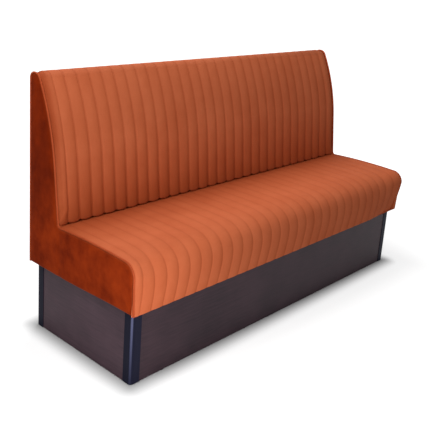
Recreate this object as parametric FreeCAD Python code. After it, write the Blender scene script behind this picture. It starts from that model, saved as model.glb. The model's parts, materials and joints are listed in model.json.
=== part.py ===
import FreeCAD, Part
import math
import os
from FreeCAD import Vector

# A straight restaurant bench in millimetres: fluted velvet seat and back on a recessed dark plinth.
# X runs along the bench, the front faces -Y, and the origin is on the floor under the middle.
# Outlines are drawn in "depth", measured forwards from the rear face, and height above the floor.

# Overall
overall_length = 1800.0
overall_depth = 615.0
overall_height = 1035.0
clearance = 0.3
overrun = 30.0

# Fluted covers: quilted pads between sewn seams
channel_count = 30
end_channel_width = 50.0
flute_rise = 4.0
flute_dip = 4.0
quilt_seam_thickness = 3.0
rear_seam_angle = 45.0
welt_diameter = 7.0
cover_thickness = 2.0
side_padding_thickness = 8.0
dust_cover_thickness = 1.0

# Side outline of the upholstered body
seat_edge_height = 483.0
seat_body_height = 198.0
seat_crown_angle = 3.2
knee_radius = 54.0
front_taper_angle = 3.2
back_foot_depth = 186.0
back_lean_angle = 6.8
back_bend_height = 700.0
back_top_depth = 34.0
back_top_front_radius = 33.5
back_top_rear_radius = 26.0
tuck_radius = 12.0
tuck_gap = 2.0

# Timber frame and foam
ply = 18.0
deck_thickness = 12.0
back_board_thickness = 6.0
rear_panel_thickness = 5.0
seat_foam_thickness = 80.0
front_foam_thickness = 20.0
back_foot_foam_thickness = 60.0
back_board_top_depth = 42.0
top_foam_thickness = 18.0
rib_spacing = 436.0
rib_count = 3
slat_width = 100.0
rear_rail_width = 90.0
middle_rail_height = 640.0
middle_rail_width = 70.0
vent_diameter = 20.0
vents_per_bay = 3

# Plinth
plinth_side_inset = 34.0
plinth_front_inset = 35.0
plinth_rear_inset = 3.0
profile_flange = 42.0
profile_wall = 2.0
profile_nose_radius = 14.0
profile_grip_depth = 15.0
batten_size = 25.0
batten_end_gap = 40.0
glide_height = 3.0
glide_diameter = 16.0
glide_pin_diameter = 3.0
glide_pin_length = 12.0
front_glide_share = 0.82
middle_glide_share = 0.28

# Fasteners
bolt_diameter = 8.0
bolt_hole_clearance = 0.5
bolt_head_width = 13.0
bolt_head_height = 5.3
nut_height = 6.5
washer_diameter = 22.0
washer_thickness = 1.6
bolt_tail = 4.0
bolt_offset = 32.0
bolt_end_distance = 130.0
screw_diameter = 4.5
screw_head_diameter = 9.0
frame_screw_length = 45.0
plinth_screw_length = 35.0
screw_fit = 0.1
screw_edge_distance = 28.0

# Worked out from the sizes above
half_length = overall_length / 2
rear_y = overall_depth / 2
quilt_back = flute_dip + quilt_seam_thickness
under_quilt = quilt_back + clearance
outline_front = overall_depth - flute_rise
outline_top = overall_height - flute_rise
plinth_height = seat_edge_height - seat_body_height
frame_bottom = plinth_height + dust_cover_thickness
cover_half = half_length - welt_diameter - clearance
padding_outer = half_length - cover_thickness
end_outer = padding_outer - side_padding_thickness
end_inner = end_outer - ply
rear_face = under_quilt
deck_top = seat_edge_height - quilt_back - seat_foam_thickness
rib_top = deck_top - deck_thickness
slat_top = frame_bottom + ply
board_top = outline_top - quilt_back - top_foam_thickness
rib_places = [rib_spacing * (i - (rib_count - 1) / 2) for i in range(rib_count)]

os.makedirs("parts", exist_ok=True)


def place(x, depth, height):
    """A point of the bench from its length, depth and height."""
    return Vector(x, rear_y - depth, height)


def box(x_low, x_high, depth_low, depth_high, height_low, height_high):
    """A board between two lengths, two depths and two heights."""
    corner = place(x_low, depth_high, height_low)
    return Part.makeBox(x_high - x_low, depth_high - depth_low, height_high - height_low, corner)


def heading_vector(angle):
    return math.cos(math.radians(angle)), math.sin(math.radians(angle))


def outward(angle):
    """The outward normal of an outline walked at this heading, as depth and height."""
    along = heading_vector(angle)
    return -along[1], along[0]


class Outline:
    """An outline of straight and round stretches, walked with the outside of the bench on its left."""

    def __init__(self, depth, height, heading):
        self.end = (depth, height)
        self.heading = heading
        self.stretches = []

    def line(self, length):
        along = heading_vector(self.heading)
        self.stretches.append(("line", self.end, self.heading, length, 0.0))
        self.end = (self.end[0] + length * along[0], self.end[1] + length * along[1])
        return self

    def bend(self, radius, turn):
        """A round stretch; a positive turn in degrees bulges outwards, a negative one is hollow."""
        self.stretches.append(("bend", self.end, self.heading, radius, turn))
        side = math.copysign(radius, turn)
        before = outward(self.heading)
        after = outward(self.heading - turn)
        centre = (self.end[0] - side * before[0], self.end[1] - side * before[1])
        self.end = (centre[0] + side * after[0], centre[1] + side * after[1])
        self.heading = self.heading - turn
        return self

    def add(self, other):
        for kind, _, _, size, turn in other.stretches:
            if kind == "line":
                self.line(size)
            else:
                self.bend(size, turn)
        return self


def shifted(point, heading, offset):
    normal = outward(heading)
    return point[0] + offset * normal[0], point[1] + offset * normal[1]


def outline_edges(outline, x, offset):
    """The outline's edges in one plane across the bench, moved outwards by the offset."""
    edges = []
    for kind, start, heading, size, turn in outline.stretches:
        first = shifted(start, heading, offset)
        if kind == "line":
            along = heading_vector(heading)
            last = (first[0] + size * along[0], first[1] + size * along[1])
            edges.append(Part.LineSegment(place(x, *first), place(x, *last)).toShape())
            continue
        side = math.copysign(size, turn)
        centre = shifted(start, heading, -side)
        middle = shifted(centre, heading - turn / 2, side + offset)
        last = shifted(centre, heading - turn, side + offset)
        edges.append(Part.Arc(place(x, *first), place(x, *middle), place(x, *last)).toShape())
    return edges


def region(outline, x, offset, corners=()):
    """A face inside the outline, closed through the corners given as depth and height."""
    edges = outline_edges(outline, x, offset)
    points = [place(x, *corner) for corner in corners]
    points.insert(0, edges[-1].lastVertex(True).Point)
    points.append(edges[0].firstVertex(True).Point)
    for a, b in zip(points[:-1], points[1:]):
        edges.append(Part.LineSegment(a, b).toShape())
    return Part.Face(Part.Wire(Part.__sortEdges__(edges)))


def above_base(shape):
    """What lies above the underside of the upholstered body."""
    reach = overrun + overall_depth
    low = frame_bottom - overall_height
    below = box(-overall_length, overall_length, -reach, overall_depth + reach, low, frame_bottom)
    return shape.cut(below)


def plate(outline, x_low, x_high, offset, corners=()):
    """A slab between two lengths, inside the outline and above the underside of the body."""
    return above_base(region(outline, x_low, offset, corners).extrude(Vector(x_high - x_low, 0, 0)))


def swept(outline, face_at):
    """A solid of one section carried along the outline; face_at gives the section at a point."""
    pieces = []
    for kind, start, heading, size, turn in outline.stretches:
        face = face_at(start, heading)
        if kind == "line":
            along = heading_vector(heading)
            pieces.append(face.extrude(Vector(0, -size * along[0], size * along[1])))
            continue
        centre = shifted(start, heading, -math.copysign(size, turn))
        pieces.append(face.revolve(place(0, *centre), Vector(1, 0, 0), turn))
    return above_base(pieces[0].multiFuse(pieces[1:]).removeSplitter())


def seam_places():
    """The seams along the bench, both ends of the fluting included."""
    first = cover_half - end_channel_width
    pitch = 2 * first / (channel_count - 2)
    inner = [-first + pitch * i for i in range(channel_count - 1)]
    return [-cover_half] + inner + [cover_half]


def flute_face(point, heading):
    """The quilted section: flat behind, one round pad between each two seams in front."""
    def spot(x, offset):
        return place(x, *shifted(point, heading, offset))

    seams = seam_places()
    edges = [Part.LineSegment(spot(seams[0], -quilt_back), spot(seams[0], -flute_dip)).toShape()]
    for low, high in zip(seams[:-1], seams[1:]):
        crest = spot((low + high) / 2, flute_rise)
        edges.append(Part.Arc(spot(low, -flute_dip), crest, spot(high, -flute_dip)).toShape())
    edges.append(Part.LineSegment(spot(seams[-1], -flute_dip), spot(seams[-1], -quilt_back)).toShape())
    edges.append(Part.LineSegment(spot(seams[-1], -quilt_back), spot(seams[0], -quilt_back)).toShape())
    return Part.Face(Part.Wire(edges))


def write(shape, name):
    if not shape.isValid():
        print(name, "is not valid")
    shape.exportStep(f"parts/{name}.step")
    print(name, len(shape.Solids), round(shape.Volume / 1000, 1))


# Outline of the back, from the lean of its lower half and the roll along its top
back_heading = back_lean_angle - 90.0


def back_line_depth(height):
    """Depth of the straight lower half of the back at a height."""
    return back_foot_depth - (height - seat_edge_height) * math.tan(math.radians(back_lean_angle))


def back_curve_radius():
    """Radius of the curve that runs from the lower half into the top roll without a kink."""
    normal = outward(back_heading)
    across = back_top_depth - back_line_depth(back_bend_height)
    up = outline_top - back_top_front_radius - back_bend_height
    lean = across * normal[0] + up * normal[1] + back_top_front_radius
    return (back_top_front_radius**2 - across**2 - up**2) / (2 * lean)


curve_radius = back_curve_radius()
curve_centre = shifted((back_line_depth(back_bend_height), back_bend_height), back_heading, -curve_radius)
roll_centre = (back_top_depth, outline_top - back_top_front_radius)
roll_turn = math.degrees(math.atan2(roll_centre[0] - curve_centre[0], roll_centre[1] - curve_centre[1]))
curve_turn = -back_heading - roll_turn

# Outline of the seat, from the crown of its top and the knee at its front
seat_tuck_centre = (back_foot_depth + tuck_radius, seat_edge_height
                    - tuck_radius * math.cos(math.radians(seat_crown_angle)))
seat_start = shifted(seat_tuck_centre, seat_crown_angle, tuck_radius)
knee_centre = (outline_front - knee_radius, seat_edge_height
               - knee_radius * math.cos(math.radians(seat_crown_angle)))
knee_start = shifted(knee_centre, -seat_crown_angle, knee_radius)
crown_radius = (knee_start[0] - seat_start[0]) / (2 * math.sin(math.radians(seat_crown_angle)))
knee_turn = 90.0 + front_taper_angle - seat_crown_angle
knee_end = shifted(knee_centre, -90.0 - front_taper_angle, knee_radius)
front_line = (knee_end[1] - frame_bottom + overrun) / math.cos(math.radians(front_taper_angle))
front_foot_depth = knee_end[0] - (knee_end[1] - frame_bottom) * math.tan(math.radians(front_taper_angle))

# The corner between back and seat in the side outline
corner_turn = seat_crown_angle - back_heading
crown_slope = math.tan(math.radians(seat_crown_angle))
lean_slope = math.tan(math.radians(back_lean_angle))
corner_depth = back_foot_depth + (seat_start[0] - back_foot_depth) * crown_slope * lean_slope
corner_height = seat_start[1] - (seat_start[0] - corner_depth) * crown_slope
corner_reach = math.hypot(seat_start[0] - corner_depth, seat_start[1] - corner_height)
corner_radius = corner_reach / math.tan(math.radians(corner_turn / 2))


def seat_top_and_front():
    """The seat outline from the rear of its crown to an overrun below its front."""
    top = Outline(*seat_start, seat_crown_angle)
    return top.bend(crown_radius, 2 * seat_crown_angle).bend(knee_radius, knee_turn).line(front_line)


def side_outline():
    """The side outline: up the rear, over the top, down the back, along the seat and down its front."""
    outline = Outline(0, frame_bottom - overrun, 90.0)
    outline.line(outline_top - back_top_rear_radius - outline.end[1]).bend(back_top_rear_radius, 90.0)
    outline.line(back_top_depth - back_top_rear_radius)
    outline.bend(back_top_front_radius, roll_turn).bend(curve_radius, curve_turn)
    drop = math.hypot(outline.end[0] - corner_depth, outline.end[1] - corner_height)
    return outline.line(drop - corner_reach).bend(corner_radius, -corner_turn).add(seat_top_and_front())


def back_cover_outline():
    """The back cover's line, from the rear top corner down to the tuck above the seat."""
    lean = math.cos(math.radians(back_heading))
    tuck_start = seat_edge_height + tuck_gap + tuck_radius * (1 + lean)
    corner = (back_top_rear_radius, outline_top - back_top_rear_radius)
    outline = Outline(*shifted(corner, rear_seam_angle, back_top_rear_radius), rear_seam_angle)
    outline.bend(back_top_rear_radius, rear_seam_angle).line(back_top_depth - back_top_rear_radius)
    outline.bend(back_top_front_radius, roll_turn).bend(curve_radius, curve_turn)
    drop = (outline.end[1] - tuck_start) / math.cos(math.radians(back_lean_angle))
    outline.line(drop).bend(tuck_radius, back_heading + 180.0)
    return outline.line(outline.end[0] - board_depth(outline.end[1] + quilt_back) - clearance)


def seat_cover_outline():
    """The seat cover's line, up behind the seat, over its crown and down its front."""
    start = (seat_tuck_centre[0] - tuck_radius, deck_top + clearance)
    outline = Outline(*start, 90.0)
    outline.line(seat_tuck_centre[1] - start[1]).bend(tuck_radius, 90.0 - seat_crown_angle)
    return outline.add(seat_top_and_front())


# The leaning front of the back board
board_foot_depth = back_foot_depth - quilt_back - back_foot_foam_thickness
board_slope = (board_foot_depth - back_board_top_depth) / (board_top - seat_edge_height)
board_setback = back_board_thickness * math.hypot(1, board_slope)


def board_depth(height):
    """Depth of the back board's front face at a height."""
    return back_board_top_depth + (board_top - height) * board_slope


def prism(points, x_low, x_high):
    """A solid between two lengths with corners given as depth and height."""
    corners = [place(x_low, *point) for point in points]
    face = Part.Face(Part.makePolygon(corners + corners[:1]))
    return face.extrude(Vector(x_high - x_low, 0, 0))


def screw(head, direction, length):
    """A countersunk wood screw from the middle of its head, pointing in a direction."""
    radius = screw_diameter / 2
    head_radius = screw_head_diameter / 2
    cone = head_radius - radius
    tip = screw_diameter
    top = Part.makeCone(head_radius, radius, cone, head, direction)
    shank = Part.makeCylinder(radius, length - cone - tip, head + direction * cone, direction)
    point = Part.makeCone(radius, 0, tip, head + direction * (length - tip), direction)
    return top.fuse([shank, point])


def screw_hole(head, direction, length):
    """The countersunk hole that a screw sits in."""
    radius = screw_diameter / 2 + screw_fit
    head_radius = screw_head_diameter / 2 + screw_fit
    cone = head_radius - radius + screw_fit
    top = Part.makeCone(head_radius, radius, cone, head, direction)
    shank = Part.makeCylinder(radius, length + screw_fit, head, direction)
    return top.fuse(shank)


def frame_screw_places():
    """Screws that hold the ribs, the rails, the deck, the slats and the ends together."""
    forwards, backwards, down, up = Vector(0, 1, 0), Vector(0, -1, 0), Vector(0, 0, -1), Vector(0, 0, 1)
    front_heights = (slat_top + screw_edge_distance, rib_top - screw_edge_distance)
    spots = []
    for x in rib_places:
        spots += [(place(x, front_rail_front, height), forwards) for height in front_heights]
        spots += [(place(x, rear_face, height), backwards) for height in rear_rail_middles]
        spots.append((place(x, top_rail_middle, board_top), down))
        for depth in (back_foot_depth + screw_edge_distance, front_rail_rear - 2 * screw_edge_distance):
            spots.append((place(x, depth, deck_top), down))
            spots.append((place(x, depth, frame_bottom), up))
    rail_ends = [(front_rail_rear + ply / 2, height) for height in front_heights]
    rail_ends += [(rear_face + ply / 2, height) for height in rear_rail_middles]
    rail_ends += [(top_rail_middle, board_top - ply / 2), (tuck_front - ply / 2, (deck_top + tuck_top) / 2)]
    for depth, height in rail_ends:
        spots.append((place(-end_outer, depth, height), Vector(1, 0, 0)))
        spots.append((place(end_outer, depth, height), Vector(-1, 0, 0)))
    return [(head, direction, frame_screw_length) for head, direction in spots]


front_rail_front = front_foot_depth - quilt_back - front_foam_thickness
front_rail_rear = front_rail_front - ply
top_rail_front = board_depth(board_top) - board_setback
top_rail_middle = (rear_face + top_rail_front) / 2
deck_rear = board_depth(rib_top) - board_setback
rear_rail_middles = (slat_top + rear_rail_width / 2, middle_rail_height + middle_rail_width / 2)
tuck_front = back_foot_depth - flute_rise - clearance
tuck_top = seat_edge_height + tuck_gap - flute_rise - clearance
frame_screws = frame_screw_places()
frame_holes = Part.makeCompound([screw_hole(*spot) for spot in frame_screws])


def rear_notches(x):
    """Room for the rails let into the rear edge of a rib."""
    notches = []
    for low, width in ((slat_top, rear_rail_width), (middle_rail_height, middle_rail_width)):
        notches.append(box(x - ply, x + ply, 0, rear_face + ply, low, low + width))
    return notches


def make_rib(x):
    """An L-shaped plywood rib: upright for the back and arm for the seat."""
    def edge(height):
        return board_depth(height) - board_setback

    rib_height = board_top - ply
    points = [(rear_face, slat_top), (rear_face, rib_height), (edge(rib_height), rib_height),
              (edge(rib_top), rib_top), (front_rail_rear, rib_top), (front_rail_rear, slat_top)]
    rib = prism(points, x - ply / 2, x + ply / 2)
    return rib.cut(rear_notches(x)).cut(frame_holes)


def make_end_frame(side):
    """The L-shaped plywood end, cut to the outline of the foam."""
    low, high = sorted((side * end_inner, side * end_outer))
    return plate(side_outline(), low, high, -under_quilt).cut(frame_holes)


def make_frame():
    for name, x in zip(("rib_left", "rib_middle", "rib_right"), rib_places):
        write(make_rib(x), name)
    for name, x in zip(("base_slat_left", "base_slat_middle", "base_slat_right"), rib_places):
        half = slat_width / 2
        slat = box(x - half, x + half, rear_face, front_rail_rear, frame_bottom, slat_top)
        write(slat.cut(joining_holes).cut(frame_holes), name)
    write(make_end_frame(-1), "end_frame_left")
    write(make_end_frame(1), "end_frame_right")
    rails = {
        "seat_front_rail": (front_rail_rear, front_rail_front, frame_bottom, rib_top),
        "base_rear_rail": (rear_face, rear_face + ply, slat_top, slat_top + rear_rail_width),
        "back_middle_rail": (rear_face, rear_face + ply, middle_rail_height,
                             middle_rail_height + middle_rail_width),
        "back_top_rail": (rear_face, top_rail_front, board_top - ply, board_top),
    }
    for name, (rear, front, low, high) in rails.items():
        write(box(-end_inner, end_inner, rear, front, low, high).cut(frame_holes), name)
    write(make_seat_deck(), "seat_deck")
    tuck = box(-end_inner, end_inner, tuck_front - ply, tuck_front, deck_top, tuck_top)
    write(tuck.cut(frame_holes), "tuck_rail")
    board = [(board_depth(board_top), board_top), (board_depth(deck_top), deck_top),
             (board_depth(deck_top) - board_setback, deck_top), (top_rail_front, board_top)]
    write(prism(board, -end_inner, end_inner), "back_board")
    panel = box(-end_outer, end_outer, rear_face - rear_panel_thickness, rear_face, frame_bottom, board_top)
    write(panel, "rear_panel")
    write(Part.makeCompound([screw(*spot) for spot in frame_screws]), "frame_screws")


def make_seat_deck():
    """The plywood seat deck with breather holes in each bay between the ribs."""
    deck = box(-end_inner, end_inner, deck_rear, front_rail_front, rib_top, deck_top)
    edges = [-end_inner] + rib_places + [end_inner]
    holes = []
    for low, high in zip(edges[:-1], edges[1:]):
        for i in range(vents_per_bay):
            x = low + (high - low) * (i + 1) / (vents_per_bay + 1)
            for share in (1 / 3, 2 / 3):
                depth = deck_rear + (front_rail_front - deck_rear) * share
                base = place(x, depth, rib_top - overrun)
                holes.append(Part.makeCylinder(vent_diameter / 2, deck_thickness + 2 * overrun, base))
    return deck.cut(holes).cut(frame_holes)


def make_seat_foam():
    """The seat slab on the deck, under the crown and the knee of the cover."""
    start = back_foot_depth + under_quilt
    room = box(-end_inner, end_inner, start, overall_depth, deck_top, overall_height)
    return plate(seat_cover_outline(), -end_inner, end_inner, -under_quilt, [(start, frame_bottom)]).common(room)


def make_front_foam():
    """The thin slab between the front rail and the cover."""
    room = box(-end_inner, end_inner, front_rail_front, overall_depth, frame_bottom, deck_top)
    return plate(side_outline(), -end_inner, end_inner, -under_quilt).common(room)


def make_back_foam():
    """The back foam, from over the top rail down to the tuck above the seat."""
    outline = back_cover_outline()
    bottom = outline.end[1] + under_quilt
    corners = [(board_depth(bottom) + clearance, bottom),
               (board_depth(board_top) + clearance, board_top + clearance),
               (rear_face + clearance, board_top + clearance)]
    return plate(outline, -end_inner, end_inner, -under_quilt, corners)


def make_welt(side):
    """The self-piped welt that follows the whole edge of the side panel."""
    radius = welt_diameter / 2
    path = side_outline()
    x = side * (half_length - radius)
    pieces = []
    for kind, start, heading, size, turn in path.stretches:
        centre_point = shifted(start, heading, -radius)
        along = heading_vector(heading)
        direction = Vector(0, -along[0], along[1])
        circle = Part.Circle(place(x, *centre_point), direction, radius)
        face = Part.Face(Part.Wire(circle.toShape()))
        if kind == "line":
            pieces.append(face.extrude(direction * size))
            continue
        centre = shifted(start, heading, -math.copysign(size, turn))
        pieces.append(face.revolve(place(0, *centre), Vector(1, 0, 0), turn))
    return above_base(pieces[0].multiFuse(pieces[1:]).removeSplitter())


def make_fluted_cover(outline):
    """A fluted cover, its tucked end narrowed to pass between the ends and stop at the back board."""
    cover = swept(outline, flute_face)
    for side in (-1, 1):
        low, high = sorted((side * (end_inner - clearance), side * half_length))
        cover = cover.cut(plate(side_outline(), low, high, clearance / 2 - under_quilt))
    tuck_height = seat_edge_height + 2 * tuck_radius
    behind = [(0, deck_top), (0, tuck_height), (board_depth(tuck_height) + clearance, tuck_height),
              (board_depth(deck_top) + clearance, deck_top)]
    return cover.cut(prism(behind, -half_length, half_length))


def make_soft_pieces():
    write(make_seat_foam(), "seat_foam")
    write(make_front_foam(), "front_foam")
    write(make_back_foam(), "back_foam")
    write(make_fluted_cover(seat_cover_outline()), "seat_cover")
    write(make_fluted_cover(back_cover_outline()), "back_cover")
    inside = -welt_diameter - clearance
    for side, name in ((-1, "left"), (1, "right")):
        low, high = sorted((side * end_outer, side * padding_outer))
        write(plate(side_outline(), low, high, inside), f"side_padding_{name}")
        low, high = sorted((side * padding_outer, side * half_length))
        write(plate(side_outline(), low, high, inside), f"side_cover_{name}")
        write(make_welt(side), f"edge_welt_{name}")
    write(make_rear_cover(), "rear_cover")
    hem = front_foot_depth - under_quilt
    cover = box(-end_outer, end_outer, cover_thickness, hem, plinth_height, frame_bottom)
    write(cover.cut(joining_holes), "dust_cover")


def make_rear_cover():
    """The plain cover over the rear, up to where the fluted cover starts round the top."""
    outline = Outline(0, frame_bottom, 90.0)
    seam_gap_angle = math.degrees(clearance / back_top_rear_radius)
    outline.line(outline_top - back_top_rear_radius - frame_bottom)
    outline.bend(back_top_rear_radius, 90.0 - rear_seam_angle - seam_gap_angle)
    outer = outline_edges(outline, -cover_half, 0)
    inner = outline_edges(outline, -cover_half, -cover_thickness)
    for own, other in ((outer[0].firstVertex(True), inner[0].firstVertex(True)),
                       (outer[-1].lastVertex(True), inner[-1].lastVertex(True))):
        outer.append(Part.LineSegment(own.Point, other.Point).toShape())
    face = Part.Face(Part.Wire(Part.__sortEdges__(outer + inner)))
    return face.extrude(Vector(2 * cover_half, 0, 0))


# Plinth places
plinth_half = half_length - plinth_side_inset
plinth_front = outline_front - plinth_front_inset
plinth_rear = plinth_rear_inset
panel_half = plinth_half - profile_wall
panel_front = plinth_front - profile_wall
panel_rear = plinth_rear + profile_wall
bearer_bottom = plinth_height - ply
batten_bottom = bearer_bottom - batten_size
panel_start = 2 * profile_wall + ply + clearance


def make_corner_profile(x_side, front):
    """One corner profile: a round nose, two flanges, and a grip behind each board."""
    nose, wall, low = profile_nose_radius, profile_wall, glide_height
    height = plinth_height - glide_height
    inner = wall + ply + clearance
    nose_base = Vector(nose, nose, low)
    ring = Part.makeCylinder(nose, height, nose_base).cut(Part.makeCylinder(nose - wall, height, nose_base))
    walls = [
        (profile_flange - nose, wall, nose, 0),
        (wall, profile_flange - nose, 0, nose),
        (wall, inner, inner - clearance, 0),
        (inner, wall, 0, inner - clearance),
        (wall + profile_grip_depth, wall, inner - clearance, inner),
        (wall, wall + profile_grip_depth, inner, inner - clearance),
    ]
    pieces = [Part.makeBox(long, wide, height, Vector(x, y, low)) for long, wide, x, y in walls]
    pieces.append(ring.common(Part.makeBox(nose, nose, height, Vector(0, 0, low))))
    profile = pieces[0].multiFuse(pieces[1:]).removeSplitter()
    if not front:
        profile = profile.mirror(Vector(0, 0, 0), Vector(0, 1, 0))
    profile.translate(place(-plinth_half, plinth_front if front else plinth_rear, 0))
    return profile if x_side < 0 else profile.mirror(Vector(0, 0, 0), Vector(1, 0, 0))


def glide_places():
    """Glides under the middle of the boards' lower edges."""
    front = panel_front - ply / 2
    rear = panel_rear + ply / 2
    side = panel_half - ply / 2
    spots = [(side * s, (front + rear) / 2) for s in (-1, 1)]
    for share in (-front_glide_share, -middle_glide_share, middle_glide_share, front_glide_share):
        spots += [(panel_half * share, front), (panel_half * share, rear)]
    return spots


def make_glide(x, depth, gap):
    """A nail-on glide: a round pad with a pin that is driven into the board's edge."""
    pad = Part.makeCylinder(glide_diameter / 2 + gap, glide_height, place(x, depth, 0))
    pin = Part.makeCylinder(glide_pin_diameter / 2 + gap, glide_height + glide_pin_length + gap,
                            place(x, depth, 0))
    return pad.fuse(pin).removeSplitter()


def joining_places():
    """Bolts that hold the upholstered body on the plinth bearers."""
    depths = (bolt_end_distance, front_rail_rear - bolt_end_distance)
    sides = (-bolt_offset, bolt_offset)
    return [(x + side, depth) for x in rib_places for side in sides for depth in depths]


def upright_cylinder(x, depth, low, high, diameter):
    return Part.makeCylinder(diameter / 2, high - low, place(x, depth, low))


def hexagon(x, depth, low, high, width):
    radius = width / math.sqrt(3)
    corners = [place(x, depth, low) + Vector(radius * math.cos(math.radians(60 * i)),
                                            radius * math.sin(math.radians(60 * i)), 0) for i in range(6)]
    return Part.Face(Part.makePolygon(corners + corners[:1])).extrude(Vector(0, 0, high - low))


joining_holes = Part.makeCompound([
    upright_cylinder(x, depth, bearer_bottom - overrun, slat_top + overrun, bolt_diameter + 2 * bolt_hole_clearance)
    for x, depth in joining_places()])


def make_joining_hardware():
    """Hexagon bolts, washers and nuts through the bearers and the slats."""
    bolts, washers, nuts = [], [], []
    for x, depth in joining_places():
        head_top = bearer_bottom - washer_thickness
        nut_bottom = slat_top + washer_thickness
        nut_top = nut_bottom + nut_height
        bolt = upright_cylinder(x, depth, head_top, nut_top + bolt_tail, bolt_diameter)
        bolts.append(bolt.fuse(hexagon(x, depth, head_top - bolt_head_height, head_top, bolt_head_width)))
        bore = upright_cylinder(x, depth, head_top - overrun, nut_top + overrun,
                                bolt_diameter + 2 * screw_fit)
        for low in (head_top, slat_top):
            disc = upright_cylinder(x, depth, low, low + washer_thickness, washer_diameter)
            washers.append(disc.cut(bore))
        nuts.append(hexagon(x, depth, nut_bottom, nut_top, bolt_head_width).cut(bore))
    write(Part.makeCompound(bolts), "joining_bolts")
    write(Part.makeCompound(washers), "joining_washers")
    write(Part.makeCompound(nuts), "joining_nuts")


def plinth_screw_places():
    """Screws down through the bearers into the battens."""
    front = panel_front - ply - batten_size / 2
    rear = panel_rear + ply + batten_size / 2
    sides = (-slat_width / 4, slat_width / 4)
    return [(place(x + side, depth, plinth_height), Vector(0, 0, -1), plinth_screw_length)
            for x in rib_places for side in sides for depth in (front, rear)]


def make_plinth():
    pins = Part.makeCompound([make_glide(x, depth, screw_fit) for x, depth in glide_places()])
    screws = plinth_screw_places()
    holes = Part.makeCompound([screw_hole(*spot) for spot in screws])
    long_half = plinth_half - panel_start
    side_front = plinth_front - panel_start
    side_rear = plinth_rear + panel_start
    boards = {
        "plinth_front_panel": (-long_half, long_half, panel_front - ply, panel_front),
        "plinth_rear_panel": (-long_half, long_half, panel_rear, panel_rear + ply),
        "plinth_left_panel": (-panel_half, -panel_half + ply, side_rear, side_front),
        "plinth_right_panel": (panel_half - ply, panel_half, side_rear, side_front),
    }
    for name, (x_low, x_high, rear, front) in boards.items():
        write(box(x_low, x_high, rear, front, glide_height, plinth_height).cut(pins), name)
    for name, x_side, front in (("corner_profile_front_left", -1, True), ("corner_profile_front_right", 1, True),
                                ("corner_profile_rear_left", -1, False), ("corner_profile_rear_right", 1, False)):
        write(make_corner_profile(x_side, front), name)
    batten_half = plinth_half - batten_end_gap
    front, rear = panel_front - ply, panel_rear + ply
    battens = {"plinth_front_batten": (front - batten_size, front), "plinth_rear_batten": (rear, rear + batten_size)}
    for name, (low, high) in battens.items():
        batten = box(-batten_half, batten_half, low, high, batten_bottom, bearer_bottom)
        write(batten.cut(holes), name)
    for name, x in zip(("plinth_bearer_left", "plinth_bearer_middle", "plinth_bearer_right"), rib_places):
        bearer = box(x - slat_width / 2, x + slat_width / 2, rear, front, bearer_bottom, plinth_height)
        write(bearer.cut(holes).cut(joining_holes), name)
    write(Part.makeCompound([screw(*spot) for spot in screws]), "plinth_screws")
    write(Part.makeCompound([make_glide(x, depth, 0) for x, depth in glide_places()]), "floor_glides")


make_plinth()
make_joining_hardware()
make_frame()
make_soft_pieces()
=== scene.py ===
# %% [markdown]
# # A booth bench in fluted velvet
#
# A restaurant bench: a fluted velvet seat and tall back on a recessed plinth of dark wood. The timber
# frame, the plinth boards and the black corner profiles are measured pieces that load as they are.
# Everything soft is made here, because cloth has puffs, seams and drawn-in corners that a plain solid
# lacks. This first cell loads the measured pieces.

# %% Load the measured pieces
import json
import math
import bmesh
import bpy
import numpy as np
from mathutils import Matrix, Vector, noise
from mathutils.geometry import delaunay_2d_cdt


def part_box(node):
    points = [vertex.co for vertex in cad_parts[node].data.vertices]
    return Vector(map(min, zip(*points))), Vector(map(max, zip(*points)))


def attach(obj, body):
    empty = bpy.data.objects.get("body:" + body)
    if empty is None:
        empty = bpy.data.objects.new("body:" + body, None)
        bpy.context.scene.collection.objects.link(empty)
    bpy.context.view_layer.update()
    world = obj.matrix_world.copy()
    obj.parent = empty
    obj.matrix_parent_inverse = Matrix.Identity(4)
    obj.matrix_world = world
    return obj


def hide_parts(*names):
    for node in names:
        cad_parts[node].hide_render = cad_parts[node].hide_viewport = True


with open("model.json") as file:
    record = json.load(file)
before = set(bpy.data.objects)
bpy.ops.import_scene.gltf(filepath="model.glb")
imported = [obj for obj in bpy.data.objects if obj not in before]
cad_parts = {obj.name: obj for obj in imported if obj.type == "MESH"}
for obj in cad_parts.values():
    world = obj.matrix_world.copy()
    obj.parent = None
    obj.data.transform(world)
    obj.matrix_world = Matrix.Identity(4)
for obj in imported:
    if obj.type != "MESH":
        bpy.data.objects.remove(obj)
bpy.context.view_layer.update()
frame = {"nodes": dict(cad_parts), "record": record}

# %% [markdown]
# ## The sizes that the soft pieces follow
#
# The welt runs round the whole side of the bench, so its box gives the length, the depth and both
# heights of the upholstered body. The radii and leans aren't in any box, so they are named here, in
# metres and degrees, as an upholsterer would note them on the pattern.

# %% Sizes from the measured pieces
welt_low, welt_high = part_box("edge_welt_left")
tuck_low, tuck_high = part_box("tuck_rail")
board_low, board_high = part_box("back_board")
ply_low, ply_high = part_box("end_frame_left")
HALF_LENGTH = -welt_low.x
REAR_Y = welt_high.y
BODY_BOTTOM = welt_low.z
OUTLINE_TOP = welt_high.z
OUTLINE_FRONT = REAR_Y - welt_low.y
COVER_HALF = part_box("seat_cover")[1].x
DECK_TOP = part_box("seat_deck")[1].z
RAIL_FRONT = REAR_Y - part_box("seat_front_rail")[0].y
TUCK_RAIL_FRONT = REAR_Y - tuck_low.y
TUCK_RAIL_TOP = tuck_high.z
BOARD_FRONT = REAR_Y - board_low.y
BOARD_TOP = board_high.z
SIDE_INNER = -ply_low.x
BOARD_INNER = -ply_high.x
print("half length", round(HALF_LENGTH, 4), "outline front", round(OUTLINE_FRONT, 4),
      "top", round(OUTLINE_TOP, 4))

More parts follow.
